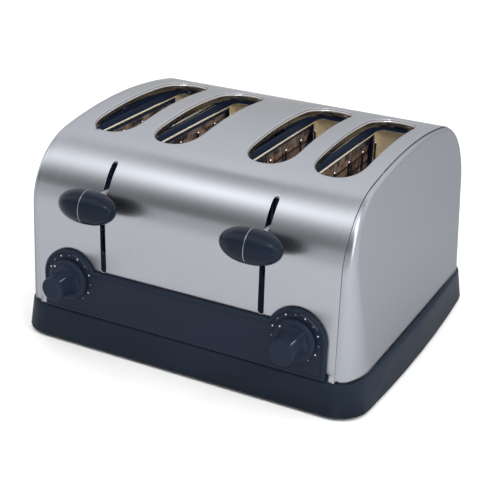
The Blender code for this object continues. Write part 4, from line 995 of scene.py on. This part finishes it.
@dataclass
class Fascia:
    """The front panel: a straight band with an arch over each dial, and the printed dial scales."""

    front_y: float = -122.5 * MM
    back_y: float = -119.2 * MM
    foot_z: float = 30.8 * MM
    top_z: float = 71.0 * MM
    half_width: float = 125.6 * MM
    arch: float = 25.0 * MM
    dial_x: float = 100.6 * MM
    dial_z: float = 60.2 * MM
    edge_round: float = 1.4 * MM
    step_width: float = 2.6 * MM
    step_depth: float = 0.6 * MM
    scale_x: float = 100.3 * MM
    scale_z: float = 61.1 * MM
    scale_radius: float = 19.4 * MM
    bright_dot: float = 0.68 * MM
    faint_dot: float = 0.6 * MM
    ink_thick: float = 0.12 * MM
    wedge_turns: tuple[float, float] = (8, 58)
    wedge_gap: float = 1.1 * MM
    wedge_widths: tuple[float, float] = (0.4 * MM, 1.3 * MM)
    bright_angles: tuple[float, ...] = (-73, -25, 23, 71, 119)
    faint_angles: tuple[float, ...] = (-97, -49, -1, 47, 95, 143)

    def outline(self, inset: float) -> np.ndarray:
        """The panel's outline less an even inset: an arc over each dial and straight lines between.

        Args:
            inset: How far it is drawn in.

        Returns:
            Rows of x and z.
        """
        radius = self.arch - inset
        top = self.top_z - inset
        start = math.asin(min(1.0, (top - self.dial_z) / radius))
        angle = np.linspace(0, math.pi - start, 40)
        right = np.stack([self.dial_x + radius * np.cos(angle), self.dial_z + radius * np.sin(angle)], -1)
        left = right[::-1] * np.array((-1, 1))
        edge = self.half_width - inset
        foot = self.foot_z + inset
        steps = np.linspace(foot, self.dial_z, 6)[:-1]
        up = np.stack([np.full_like(steps, edge), steps], -1)
        down = up[::-1] * np.array((-1, 1))
        between = np.linspace(right[-1, 0], left[0, 0], 30)[1:-1]
        flat = np.stack([between, np.full_like(between, top)], -1)
        along = np.linspace(-edge, edge, 60)[1:-1]
        floor = np.stack([along, np.full_like(along, foot)], -1)
        return np.concatenate([up, right, flat, left, down, floor])

    def build(self, palette: Palette) -> None:
        """Builds the panel with its rounded edge and stepped face, and the scales.

        Args:
            palette: The finishes.
        """
        shell = Shell()
        turns = np.linspace(0, math.pi / 2, 5)
        insets = [0.0, *(self.edge_round * (1 - np.cos(turns)))]
        depths = [self.back_y, *(self.front_y + self.edge_round * (1 - np.sin(turns)))]
        insets += [self.step_width, self.step_width + self.step_depth]
        depths += [self.front_y, self.front_y + self.step_depth]
        rows = []
        for inset, depth in zip(insets, depths):
            loop = self.outline(float(inset))
            rows.append(np.stack([loop[:, 0], np.full(len(loop), depth), loop[:, 1]], -1))
        shell.capped(rows)
        mesh = shell.mesh("front_fascia", 30, closed=True)
        add_piece("front_fascia", mesh, palette.panel, Body.HOUSING, ["control_panel"])
        face_y = self.front_y + self.step_depth
        for name, side in SIDES:
            self.dots(f"{name}_scale_dots", side, self.bright_angles, self.bright_dot, face_y, palette.ink)
            self.dots(f"{name}_scale_half_dots", side, self.faint_angles, self.faint_dot, face_y,
                      palette.faint_ink_and_glint)
            self.wedge(f"{name}_scale_wedge", side, face_y, palette.pointer)

    def dots(self, name: str, side: int, angles: Sequence[float], radius: float, face_y: float,
             ink: bpy.types.Material) -> None:
        """Adds a ring of printed dots, each a thin raised disc.

        Args:
            name: The piece's name.
            side: 1 for the right dial and -1 for the left.
            angles: Degrees clockwise from the top.
            radius: A dot's radius.
            face_y: The face that they are printed on.
            ink: Their finish.
        """
        shell = Shell()
        around = np.linspace(0, ROUND, 14, endpoint=False)
        for degrees in angles:
            turn = math.radians(degrees)
            x = side * self.scale_x + self.scale_radius * math.sin(turn)
            z = self.scale_z + self.scale_radius * math.cos(turn)
            ring = np.stack([x + radius * np.cos(around), np.full(14, face_y),
                             z + radius * np.sin(around)], -1)
            shell.capped([ring, ring - np.array((0, self.ink_thick, 0))])
        add_piece(name, shell.mesh(name, 30, closed=True), ink, Body.HOUSING)

    def wedge(self, name: str, side: int, face_y: float, ink: bpy.types.Material) -> None:
        """Adds the printed arc that widens from light to dark toasting.

        Args:
            name: The piece's name.
            side: 1 for the right dial and -1 for the left.
            face_y: The face that it is printed on.
            ink: Its finish.
        """
        turn = np.radians(np.linspace(*self.wedge_turns, 24))
        reach = self.scale_radius + self.wedge_gap
        width = np.linspace(*self.wedge_widths, 24)
        loops = []
        for radius in (reach, reach + width):
            loops.append(np.stack([side * self.scale_x + radius * np.sin(turn), np.full(24, face_y),
                                   self.scale_z + radius * np.cos(turn)], -1))
        raised = [loop - np.array((0, self.ink_thick, 0)) for loop in loops]
        shell = Shell()
        shell.grid(np.stack([loops[0], raised[0], raised[1], loops[1], loops[0]]))
        shell.polygon(np.stack([loops[0][0], raised[0][0], raised[1][0], loops[1][0]]))
        shell.polygon(np.stack([loops[0][-1], raised[0][-1], raised[1][-1], loops[1][-1]]), flip=True)
        add_piece(name, shell.mesh(name, 30, closed=True), ink, Body.HOUSING)


@dataclass
class Knob:
    """A dial: a domed skirt, and a grip whose ridge spreads from the face down to the skirt."""

    dial_x: float = 100.6 * MM
    dial_z: float = 60.2 * MM
    back_y: float = -123.3 * MM
    skirt: float = 17.2 * MM
    skirt_deep: float = 4.2 * MM
    length: float = 19.0 * MM
    radius: float = 10.0 * MM
    flare: float = 3.0 * MM
    face_nose: float = 10.8 * MM
    foot_nose: float = 14.8 * MM
    face_round: float = 1.3 * MM
    dish: float = 0.5 * MM
    rest: float = math.radians(40)
    shaft: float = 3.3 * MM
    bore: float = 11.0 * MM
    index_radius: float = 14.9 * MM
    index_turn: float = math.radians(-45)
    index_dot: float = 0.64 * MM
    blunt: float = 0.9 * MM
    root: float = 0.6 * MM
    # Half width of the painted ridge highlight, and how far it sinks below the crest.
    ridge_glint_half: float = 0.32 * MM
    ridge_glint_sunk: float = 0.4 * MM

    def ridge(self, levels: np.ndarray) -> tuple[np.ndarray, np.ndarray]:
        """The grip's nose and height at shares of its length.

        Args:
            levels: Shares, from 0 at the skirt to 1 below the face's round.

        Returns:
            The nose's reach and the distance in front of the knob's back.
        """
        nose = self.foot_nose + (self.face_nose - self.foot_nose) * levels
        foot = self.skirt_deep - self.root
        return nose, foot + (self.length - self.face_round + self.root) * levels

    def place(self, side: int, across: np.ndarray, up: np.ndarray, out: np.ndarray,
              turn: float = 0.0) -> np.ndarray:
        """Puts points given on the dial's face into place.

        Args:
            side: 1 for the right dial and -1 for the left.
            across: Places to the right on the face.
            up: Places up on the face.
            out: Distances in front of the knob's back.
            turn: The turn clockwise, seen from the front.

        Returns:
            The points.
        """
        x = across * math.cos(turn) + up * math.sin(turn)
        z = -across * math.sin(turn) + up * math.cos(turn)
        return np.stack([side * self.dial_x + x, self.back_y - out + 0 * x, self.dial_z + z], -1)

    def section(self, radius: float, nose: float) -> np.ndarray:
        """A round section drawn out to a nose: two hollowed flanks that leave the circle and meet the nose.

        Args:
            radius: The circle's radius.
            nose: The nose's reach.

        Returns:
            Rows of across and up, clockwise from beside the nose.
        """
        spread, blunt = math.radians(46), self.blunt
        turn = np.linspace(spread, ROUND - spread, 61)
        body = np.stack([radius * np.sin(turn), radius * np.cos(turn)], -1)
        share = np.linspace(0, 1, 15)[1:]
        start = body[-1]
        tip = np.array((-blunt, nose))
        straight = start + (tip - start) * share[:, None]
        bow = np.sin(share * math.pi) * (nose - radius) * 0.16
        normal = np.array((-(tip - start)[1], (tip - start)[0]))
        normal /= np.linalg.norm(normal)
        flank = straight - normal * bow[:, None] * np.sign(normal @ start)
        across = np.linspace(-blunt, blunt, 6)[1:-1]
        crown = np.stack([across, nose + 0.25 * blunt * (1 - (across / blunt) ** 2)], -1)
        mirror = flank[::-1] * np.array((-1, 1))
        return np.concatenate([body, flank, crown, mirror[:-1]])

    def build(self, name: str, side: int, palette: Palette) -> None:
        """Builds one knob.

        Args:
            name: Its hand.
            side: 1 for the right dial and -1 for the left.
            palette: The finishes.
        """
        body = Body[f"{name.upper()}_DIAL"]
        shell = Shell()
        around = np.linspace(0, ROUND, 72, endpoint=False)
        face = self.skirt_deep
        reach = [self.shaft, self.skirt - 0.4 * MM, self.skirt, self.skirt, self.skirt - 0.35 * MM,
                 self.skirt - 1.1 * MM, self.skirt - 2.6 * MM, self.skirt - 5.0 * MM, 8.0 * MM]
        out = [0.0, 0.0, 0.4 * MM, face - 2.2 * MM, face - 1.3 * MM, face - 0.75 * MM, face - 0.35 * MM,
               face - 0.1 * MM, face]
        rows = [self.place(side, r * np.sin(around), r * np.cos(around), np.full(72, o))
                for r, o in zip(reach, out)]
        shell.grid(np.array(rows), wrap=True)
        shell.polygon(rows[-1])
        rows = [self.place(side, r * np.sin(around), r * np.cos(around), np.full(72, o))
                for r, o in ((self.shaft, 0.0), (self.shaft, self.bore))]
        shell.grid(np.array(rows), wrap=True, flip=True)
        shell.polygon(rows[-1])
        levels = np.linspace(0, 1, 22)
        nose, height = self.ridge(levels)
        flare = self.flare * np.exp(-levels * 5.5)
        loft = []
        for at, extra, tip in zip(height, flare, nose):
            loft.append(self.place(side, *self.section(self.radius + extra, tip).T, at, self.rest))
        top = height[-1]
        for turn in np.linspace(0, math.pi / 2, 6)[1:]:
            pull = self.face_round * (1 - math.cos(turn))
            at = top + self.face_round * math.sin(turn)
            outline = self.section(self.radius - pull, self.face_nose - pull)
            loft.append(self.place(side, *outline.T, at, self.rest))
        for share in (0.86, 0.8, 0.6, 0.3, 0.08):
            at = top + self.face_round - self.dish * min(1.0, (0.9 - share) * 6)
            outline = self.section(self.radius - self.face_round, self.face_nose - self.face_round) * share
            loft.append(self.place(side, *outline.T, at, self.rest))
        shell.capped(loft)
        piece = f"{name}_dial_knob"
        add_piece(piece, shell.mesh(piece, 38, closed=True), palette.knob, body,
                  [f"{name}_knob"])
        dot = Shell()
        small = np.linspace(0, ROUND, 14, endpoint=False)
        centre = self.index_radius * np.array((math.sin(self.index_turn), math.cos(self.index_turn)))
        dot.capped([self.place(side, centre[0] + self.index_dot * np.sin(small),
                               centre[1] + self.index_dot * np.cos(small), np.full(14, level))
                    for level in (face - 0.9 * MM, face - 0.12 * MM)])
        # A thin strip of faint ink along the ridge's crest is a painted highlight: it stands in for the light
        # that the crest catches.
        crest, height = self.ridge(np.linspace(0.68, 1.0, 8))
        edges = [self.place(side, np.full(8, across * self.ridge_glint_half),
                            crest + 0.25 * MM - sunk * self.ridge_glint_sunk, height, self.rest)
                 for across, sunk in ((-1, 0), (1, 0), (1, 1), (-1, 1), (-1, 0))]
        pointer = Shell()
        pointer.grid(np.array(edges))
        pointer.polygon(np.array([edge[0] for edge in edges[:4]]))
        pointer.polygon(np.array([edge[-1] for edge in edges[:4]]), flip=True)
        for piece, made, ink in ((f"{name}_dial_ridge_glint", pointer, palette.faint_ink_and_glint),
                                 (f"{name}_dial_index", dot, palette.ink)):
            add_piece(piece, made.mesh(piece, 30, closed=True), ink, body)


@dataclass
class Handle:
    """An egg-shaped lever handle in two halves, with a thin bright ring between them."""

    lever_x: float = 70.0 * MM
    middle_y: float = -138.4 * MM
    middle_z: float = 135.0 * MM
    half_length: float = 25.0 * MM
    half_deep: float = 12.9 * MM
    half_tall: float = 13.5 * MM
    seam: float = 0.32 * MM
    ring_proud: float = 0.05 * MM
    blunt: float = 2.2

    def half_egg(self, x: float, direction: int) -> np.ndarray:
        """Half an egg: its girth falls with the share of the length as (1 - t^p)^(1/2).

        Args:
            x: The lever's place.
            direction: 1 for the half towards +X and -1 for the other.

        Returns:
            Rows of rings from the seam to the tip.
        """
        t = 1 - np.linspace(1, 0, 26) ** 1.8
        around = np.linspace(0, ROUND, 64, endpoint=False)
        girth = np.sqrt(np.maximum(1 - t ** self.blunt, 0))
        reach = self.seam + (self.half_length - self.seam) * t
        y = self.middle_y + self.half_deep * girth[:, None] * np.cos(around)[None]
        z = self.middle_z + self.half_tall * girth[:, None] * np.sin(around)[None]
        return np.stack([x + direction * reach[:, None] + 0 * y, y, z], -1)

    def build(self, name: str, side: int, palette: Palette) -> None:
        """Builds one handle.

        Args:
            name: Its hand.
            side: 1 for the right lever and -1 for the left.
            palette: The finishes.
        """
        body = Body[f"{name.upper()}_LIFT"]
        x = side * self.lever_x
        for half, direction in (("outer", side), ("inner", -side)):
            shell = Shell()
            rings = self.half_egg(x, direction)
            shell.grid(rings, wrap=True, flip=direction < 0)
            shell.polygon(rings[0], flip=direction > 0)
            piece = f"{name}_handle_half_{half}"
            add_piece(piece, shell.mesh(piece, 35, closed=True), palette.handle, body,
                      [f"{name}_handle_{half}"])
        around = np.linspace(0, ROUND, 64, endpoint=False)
        rows = []
        for reach, grow in ((-1, -1.2 * MM), (-1, 0.0), (-0.6, self.ring_proud), (0.6, self.ring_proud),
                            (1, 0.0), (1, -1.2 * MM)):
            y = self.middle_y + (self.half_deep + grow) * np.cos(around)
            z = self.middle_z + (self.half_tall + grow) * np.sin(around)
            rows.append(np.stack([x + reach * self.seam + 0 * y, y, z], -1))
        ring = Shell()
        ring.grid(np.array(rows + rows[:1]), wrap=True)
        piece = f"{name}_handle_ring"
        add_piece(piece, ring.mesh(piece, 35, closed=True), palette.ring, body)


@dataclass
class Chamber:
    """What shows through the bread slots: collars, guard wires, heating cards and their ribbons."""

    slot_centres: tuple[float, ...] = (-98.2 * MM, -41.8 * MM, 41.8 * MM, 98.2 * MM)
    front_y: float = -74.4 * MM
    rear_y: float = 87.8 * MM
    guard_half: float = 18.6 * MM
    guard_low: float = 34.5 * MM
    guard_high: float = 153.0 * MM
    wire: float = 0.9 * MM
    wire_bend: float = 4.0 * MM
    wire_rear: float = 15.5 * MM
    wire_pitch: float = 29.2 * MM
    wires: int = 5
    rail_rise: float = 3.6 * MM
    ribbon_half: float = 0.9 * MM
    ribbon_thick: float = 0.12 * MM
    ribbon_pitch: float = 8.5 * MM
    collar_half: float = 21.0 * MM
    collar_high: float = 160.0 * MM
    collar_low: float = 126.0 * MM
    collar_corner: float = 6.0 * MM
    collar_sheet: float = 0.5 * MM
    channel_sheet: float = 0.5 * MM
    channel_low: float = 147.0 * MM
    channel_middle: float = 151.6 * MM
    channel_high: float = 162.0 * MM
    channel_end: float = 1.0 * MM
    rim: float = 0.45 * MM
    window_high: float = 158.3 * MM
    window_low: float = 129.0 * MM
    window_end: float = 11.0 * MM

    def collar(self, number: int, x: float, palette: Palette) -> None:
        """Builds the collar below one slot: a rolled rim whose bright finish is a painted highlight along its
        edge, and a wall with a window in each long side.

        The plan is a rectangle with quarter-round corners, and each height carries it out by its own reach.

        Args:
            number: The slot's number.
            x: The slot's middle.
            palette: The finishes.
        """
        middle_y, half_y = (self.rear_y + self.front_y) / 2, (self.rear_y - self.front_y) / 2 - 1.2 * MM
        corner = self.collar_corner
        turn = np.linspace(0, math.pi / 2, 7)
        window_y = half_y - self.window_end
        side_y = np.concatenate([[-half_y + corner], np.linspace(-window_y, window_y, 34), [half_y - corner]])
        across = np.linspace(self.collar_half - corner, corner - self.collar_half, 10)
        right = np.stack([np.full_like(side_y, self.collar_half), side_y, 1 + 0 * side_y, 0 * side_y], -1)
        bend = np.stack([self.collar_half - corner + corner * np.cos(turn),
                         half_y - corner + corner * np.sin(turn), np.cos(turn), np.sin(turn)], -1)[1:-1]
        end = np.stack([across, np.full_like(across, half_y), 0 * across, 1 + 0 * across], -1)
        half = np.concatenate([right, bend, end, bend[::-1] * np.array((-1, 1, -1, 1))])
        loop = np.concatenate([half, -half])
        roll = np.radians(np.linspace(-60, 180, 13))
        top = self.collar_high - self.rim
        reach = [*(self.rim + self.rim * np.cos(roll)), 0.0, 0.0, 0.0]
        height = [*(top + self.rim * np.sin(roll)), self.window_high, self.window_low, self.collar_low]
        plan = loop[None, :, :2] + np.array(reach)[:, None, None] * loop[None, :, 2:]
        level = np.broadcast_to(np.array(height)[:, None, None], plan.shape[:2] + (1,))
        points = np.concatenate([plan + np.array((x, middle_y)), level], -1)
        wall = points[len(roll) - 1:]
        kept = np.ones((len(wall) - 1, len(loop)), bool)
        flank = np.abs(np.abs(loop[:, 0]) - self.collar_half) < MERGE
        sides = (np.abs(loop[:, 1]) <= window_y + MERGE) & flank
        kept[-2] = ~(sides & np.roll(sides, -1))
        shell, rim = Shell(), Shell()
        shell.grid(wall, wrap=True, kept=kept)
        rim.grid(points[:len(roll)], wrap=True)
        piece = f"slot_{number}_collar"
        made = add_piece(piece, shell.mesh(piece, 50), palette.liner, Body.HOUSING,
                         [f"slot_liner_{number}"])
        # The collar's outer side takes the painted-shade sheet: painted shade on steel.
        add_wall(made, self.collar_sheet, palette.painted_shade_sheet)
        # The rim's bright finish is a painted highlight: it stands in for the light that the rolled edge
        # catches.
        piece = f"slot_{number}_collar_rim"
        add_piece(piece, rim.mesh(piece, 50), palette.wire, Body.HOUSING)

    def hairpin(self, x: float, y: float) -> np.ndarray:
        """A wire down one side, across below and up the other, with rounded turns and turned-in tips.

        Args:
            x: The slot's middle.
            y: The wire's place along the slot.

        Returns:
            The wire's middle line.
        """
        bend, half, low, high = self.wire_bend, self.guard_half, self.guard_low, self.guard_high
        turn = np.linspace(0, math.pi / 2, 7)
        corner_x = half - bend + bend * np.sin(turn)
        corner_z = low + bend - bend * np.cos(turn)
        right = np.stack([corner_x, corner_z], -1)
        rise = np.stack([np.full(5, half), np.linspace(low + bend, high - 1.2 * MM, 6)[1:]], -1)
        right = np.concatenate([np.array([[0.0, low]]), right, rise])
        left = right[::-1] * np.array((-1, 1))
        path = np.concatenate([left[:-1], right])
        return np.stack([x + path[:, 0], np.full(len(path), y), path[:, 1]], -1)

    def build(self, palette: Palette) -> None:
        """Builds the wires and ribbons, and dresses the collars and cards.

        Args:
            palette: The finishes.
        """
        for number, x in enumerate(self.slot_centres, 1):
            self.collar(number, x, palette)
            shell, tips = Shell(), Shell()
            for index in range(self.wires):
                y = self.rear_y + 0.3 * MM - self.wire_rear - index * self.wire_pitch
                shell.tube(self.hairpin(x, y), self.wire, 10)
                for side in (-1, 1):
                    self.bead(tips, (x + side * self.guard_half, y, self.guard_high - 1.0 * MM))
            for side in (-1, 1):
                rail_x = x + side * (self.guard_half + self.wire * 1.2)
                path = np.stack([np.full(4, rail_x), np.linspace(self.front_y, self.rear_y, 4),
                                 np.full(4, self.guard_low + self.rail_rise + self.wire)], -1)
                shell.tube(path, self.wire * 0.9, 10)
            # The wires' dark finish is painted shade; their tips carry a painted glint.
            piece = f"slot_{number}_guard"
            add_piece(piece, shell.mesh(piece, 50, closed=True), palette.shade_darkened_wire, Body.HOUSING,
                      [f"guard_wires_{number}"])
            # The tips take the bright finish as a painted glint over the darkened wires.
            piece = f"slot_{number}_guard_tip_glints"
            add_piece(piece, tips.mesh(piece, 50, closed=True), palette.wire, Body.HOUSING)
        for number in range(1, 7):
            finish_node(f"element_card_{number}", palette.mica)
            self.ribbons(number, palette.ribbon)
            # The channel's flanks take the darker mottling (painted shade); its upper part takes the
            # painted-shade sheet, standing in for the shade above the cards.
            self.channel(number, "edge", palette.band, self.channel_low, self.channel_middle)
            self.channel(number, "channel", palette.painted_shade_sheet, self.channel_middle, self.channel_high)

    def channel(self, number: int, kind: str, material: bpy.types.Material, foot: float, top: float) -> None:
        """Adds one part of the channel on a card's upper edge: two flanks and a round top, carried along Y.

        Args:
            number: The card's number.
            kind: What the part is called.
            material: Its finish.
            foot: Its lower end.
            top: Its upper end.
        """
        low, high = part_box(f"element_card_{number}")
        middle = (high.x + low.x) / 2
        half = (high.x - low.x) / 2 + self.channel_sheet
        turn = np.linspace(0, math.pi, 9)
        crest = np.stack([half * np.cos(turn), top - half + half * np.sin(turn)], -1)
        outline = np.concatenate([[[half, foot]], crest, [[-half, foot]]])
        ends = [np.stack([middle + outline[:, 0], np.full(len(outline), y), outline[:, 1]], -1)
                for y in (low.y + self.channel_end, high.y - self.channel_end)]
        shell = Shell()
        shell.grid(np.array(ends), wrap=True)
        shell.polygon(ends[0])
        shell.polygon(ends[1], flip=True)
        name = f"card_{number}_{kind}"
        add_piece(name, shell.mesh(name, 40, closed=True), material, Body.HOUSING)

    def bead(self, shell: Shell, centre: tuple[float, float, float]) -> None:
        """Adds the rounded tip of a wire, whose bright finish is a painted glint.

        Args:
            shell: The shell that it is added to.
            centre: Its middle.
        """
        turn = np.linspace(0, math.pi, 9)
        around = np.linspace(0, ROUND, 12, endpoint=False)
        radius = self.wire * 1.4
        ring = radius * np.sin(turn)[:, None]
        points = np.stack([centre[0] + ring * np.cos(around), centre[1] + ring * np.sin(around),
                           centre[2] - radius * np.cos(turn)[:, None] + 0 * around[None]], -1)
        shell.grid(points, wrap=True)

    def ribbons(self, number: int, material: bpy.types.Material) -> None:
        """Adds the heating ribbon wound round one card, as flat closed loops a pitch apart.

        Args:
            number: The card's number.
            material: The ribbon's finish.
        """
        low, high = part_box(f"element_card_{number}")
        half = (high.x - low.x) / 2
        middle = (high.x + low.x) / 2
        inset = 3.0 * MM
        shell = Shell()
        for z in np.arange(low.z + self.ribbon_pitch, high.z - self.ribbon_pitch / 2, self.ribbon_pitch):
            for side in (-1, 1):
                near = middle + side * (half + 0.02 * MM)
                far = near + side * self.ribbon_thick
                shell.box((min(near, far), low.y + inset, z - self.ribbon_half),
                          (max(near, far), high.y - inset, z + self.ribbon_half))
        name = f"card_{number}_ribbon"
        add_piece(name, shell.mesh(name, 30, closed=True), material, Body.HOUSING)


class Fittings:
    """The remaining pieces: base, feet, screws, tray, lift mechanism and the back's gland."""

    def build(self, palette: Palette) -> None:
        """Dresses them.

        Args:
            palette: The finishes.
        """
        housing = Body.HOUSING
        rows = [("base_tray", "base_shell", palette.base, housing, Slot.PLASTIC),
                ("bottom_plate", "base_bottom_plate", palette.plated, housing, Slot.PLATED),
                ("crumb_tray", "crumb_tray_pan", palette.plated, Body.CRUMB_DRAWER, Slot.PLATED),
                ("cord_gland", "cord_bush", palette.rubber, housing, Slot.RUBBER),
                ("terminal_block", "mains_block", palette.pale, housing, Slot.PALE)]
        rows += [(f"plate_screw_{number}", f"bottom_screw_{number}", palette.plated, housing, Slot.PLATED)
                 for number in range(1, 5)]
        rows += [(f"foot_{corner}", f"rubber_foot_{corner}", palette.rubber, housing, Slot.RUBBER)
                 for corner in ("front_left", "front_right", "rear_left", "rear_right")]
        for name, _ in SIDES:
            lift, dial = Body[f"{name.upper()}_LIFT"], Body[f"{name.upper()}_DIAL"]
            rows += [(f"{name}_carriage", f"{name}_lift_carriage", palette.stem, lift, Slot.PLATED),
                     (f"{name}_dial_shaft", f"{name}_shaft", palette.plated, dial, Slot.PLATED),
                     (f"{name}_timer", f"{name}_control", palette.pale, housing, Slot.PALE),
                     (f"{name}_guide_rod", f"{name}_rod", palette.shade_darkened_wire, housing, Slot.WIRE),
                     (f"{name}_magnet", f"{name}_holding_magnet", palette.coil, housing, Slot.COIL)]
            finish_node(f"{name}_return_spring", palette.shade_darkened_wire)
            finish_node(f"{name}_keeper", palette.plated)
        rows += [(f"bread_rack_{number}", f"rack_{number}", palette.wire,
                  Body.LEFT_LIFT if number < 3 else Body.RIGHT_LIFT, Slot.WIRE) for number in range(1, 5)]
        # The bulkheads take the painted-shade sheet: their steel is darkened to stand in for the shade inside
        # the body.
        for bulkhead in ("front_bulkhead", "rear_bulkhead"):
            finish_node(bulkhead, palette.painted_shade_sheet)
        for row in rows:
            smooth_copy(*row)


@dataclass
class Studio:
    """The floor, the soft lights, the surroundings that the steel mirrors, and the camera."""

    azimuth: float = 26.578
    elevation: float = 24.357
    roll: float = 1.839
    distance: float = 1.0075
    lens: float = 83.44
    target: tuple[float, float, float] = (-5.32 * MM, 10.77 * MM, 56.14 * MM)
    aim: tuple[float, float, float] = (0.0, 0.0, 0.1)

    def camera(self) -> None:
        """Sets the camera: it looks at the target from an azimuth and an elevation, with a small roll."""
        turn, climb, roll = (math.radians(v) for v in (self.azimuth, self.elevation, self.roll))
        back = Vector((math.sin(turn) * math.cos(climb), -math.cos(turn) * math.cos(climb), math.sin(climb)))
        right = Vector((math.cos(turn), math.sin(turn), 0))
        up = back.cross(right)
        across = right * math.cos(roll) + up * math.sin(roll)
        upright = up * math.cos(roll) - right * math.sin(roll)
        data = bpy.data.cameras.new("camera")
        data.lens = self.lens
        data.sensor_width = 36.0
        data.clip_start, data.clip_end = 0.05, 60.0
        camera = bpy.data.objects.new("camera", data)
        bpy.context.scene.collection.objects.link(camera)
        place = Vector(self.target) + back * self.distance
        camera.matrix_world = Matrix((
            (across.x, upright.x, back.x, place.x), (across.y, upright.y, back.y, place.y),
            (across.z, upright.z, back.z, place.z), (0, 0, 0, 1)))
        bpy.context.scene.camera = camera

    def floor(self) -> None:
        """Lays a pale floor."""
        material = Finish("studio_floor", (0.80, 0.80, 0.802), 0.75, 0.0, 0.01, 0.02, grain_size=40.0,
                          grain_strength=0.0).make()
        shell = Shell()
        span = np.linspace(-8, 8, 3)
        across, along = np.meshgrid(span, span)
        shell.grid(np.stack([across, along, 0 * across], -1))
        mesh = shell.mesh("studio_floor", None)
        mesh.materials.append(material)
        floor = bpy.data.objects.new("studio_floor", mesh)
        bpy.context.scene.collection.objects.link(floor)

    def lamp(self, name: str, where: tuple[float, float, float], size: tuple[float, float], power: float,
             mirrored: bool) -> None:
        """Hangs a soft rectangular light that faces the toaster.

        Args:
            name: Its name.
            where: Its place.
            size: Its width and height.
            power: Its power in watts.
            mirrored: Whether shiny surfaces mirror it.
        """
        data = bpy.data.lights.new(name, "AREA")
        data.shape = "RECTANGLE"
        data.size, data.size_y = size
        data.energy = power
        lamp = bpy.data.objects.new(name, data)
        bpy.context.scene.collection.objects.link(lamp)
        lamp.location = where
        lamp.visible_glossy = mirrored
        lamp.rotation_euler = (Vector(self.aim) - Vector(where)).to_track_quat("-Z", "Y").to_euler()

    def surroundings(self) -> None:
        """Fills the world: its brightness follows the angle from the front's horizon over to the back's."""
        world = bpy.data.worlds.new("studio")
        bpy.context.scene.world = world
        world.use_nodes = True
        nodes = Nodes(world.node_tree)
        point = nodes.add("ShaderNodeTexCoord", output="Generated")
        split = nodes.add("ShaderNodeSeparateXYZ", {}, {0: point})
        y = Value(nodes, split.socket.node.outputs[1])
        z = Value(nodes, split.socket.node.outputs[2])
        angle = nodes.add("ShaderNodeMath", {"operation": "ARCTAN2"}, {0: z, 1: y * -1.0}) / math.pi
        levels = ((0.0, 0.92), (0.085, 0.90), (0.115, 0.29), (0.17, 0.32), (0.216, 0.50), (0.263, 0.98),
                  (0.309, 1.92), (0.355, 2.90), (0.401, 2.25), (0.447, 1.44), (0.492, 0.96), (0.560, 0.64),
                  (0.585, 1.46), (0.70, 1.43), (0.79, 1.39), (0.89, 1.27), (1.0, 0.98))
        stops = [(place, rgb(level / 3, level / 3, level / 3)) for place, level in levels]
        grey = nodes.add("ShaderNodeValToRGB", {"stops": stops}, {0: angle})
        light = nodes.add("ShaderNodeBackground", {}, {"Color": grey, "Strength": 3.3})
        seen = nodes.add("ShaderNodeBackground", {}, {"Color": rgb(1, 1, 1), "Strength": 1.0})
        ray = nodes.add("ShaderNodeLightPath", output="Is Camera Ray")
        both = nodes.add("ShaderNodeMixShader", {}, {0: ray, 1: light, 2: seen})
        nodes.add("ShaderNodeOutputWorld", {}, {"Surface": both})

    def build(self) -> None:
        """Sets everything up."""
        self.camera()
        self.floor()
        self.surroundings()
        self.lamp("key_light", (-0.5, -1.5, 1.7), (1.6, 0.8), 4.0, False)
        self.lamp("top_light", (0.2, 0.4, 2.2), (1.8, 1.8), 4.0, False)
        self.lamp("side_card", (1.6, -0.5, 0.55), (0.35, 0.9), 4.0, True)
        self.lamp("small_card", (1.0, -0.75, 1.3), (0.28, 0.28), 5.0, True)
        self.lamp("floor_light", (0.6, -0.3, 0.5), (0.3, 0.3), 1.1, False)
        bpy.context.scene.view_settings.view_transform = "Standard"


def main() -> None:
    """Builds the toaster's pieces in order."""
    logging.basicConfig(level=logging.INFO, format="%(name)s %(message)s")
    palette = Palette()
    profile = Profile()
    Wrapper(profile).build(palette)
    cap = EndCap(profile)
    knob = Knob()
    handle = Handle()
    Fascia().build(palette)
    Chamber().build(palette)
    for name, side in SIDES:
        cap.build(name, side, palette)
        knob.build(name, side, palette)
        handle.build(name, side, palette)
    Fittings().build(palette)
    Studio().build()


if __name__ == "__main__":
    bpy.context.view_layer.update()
    main()
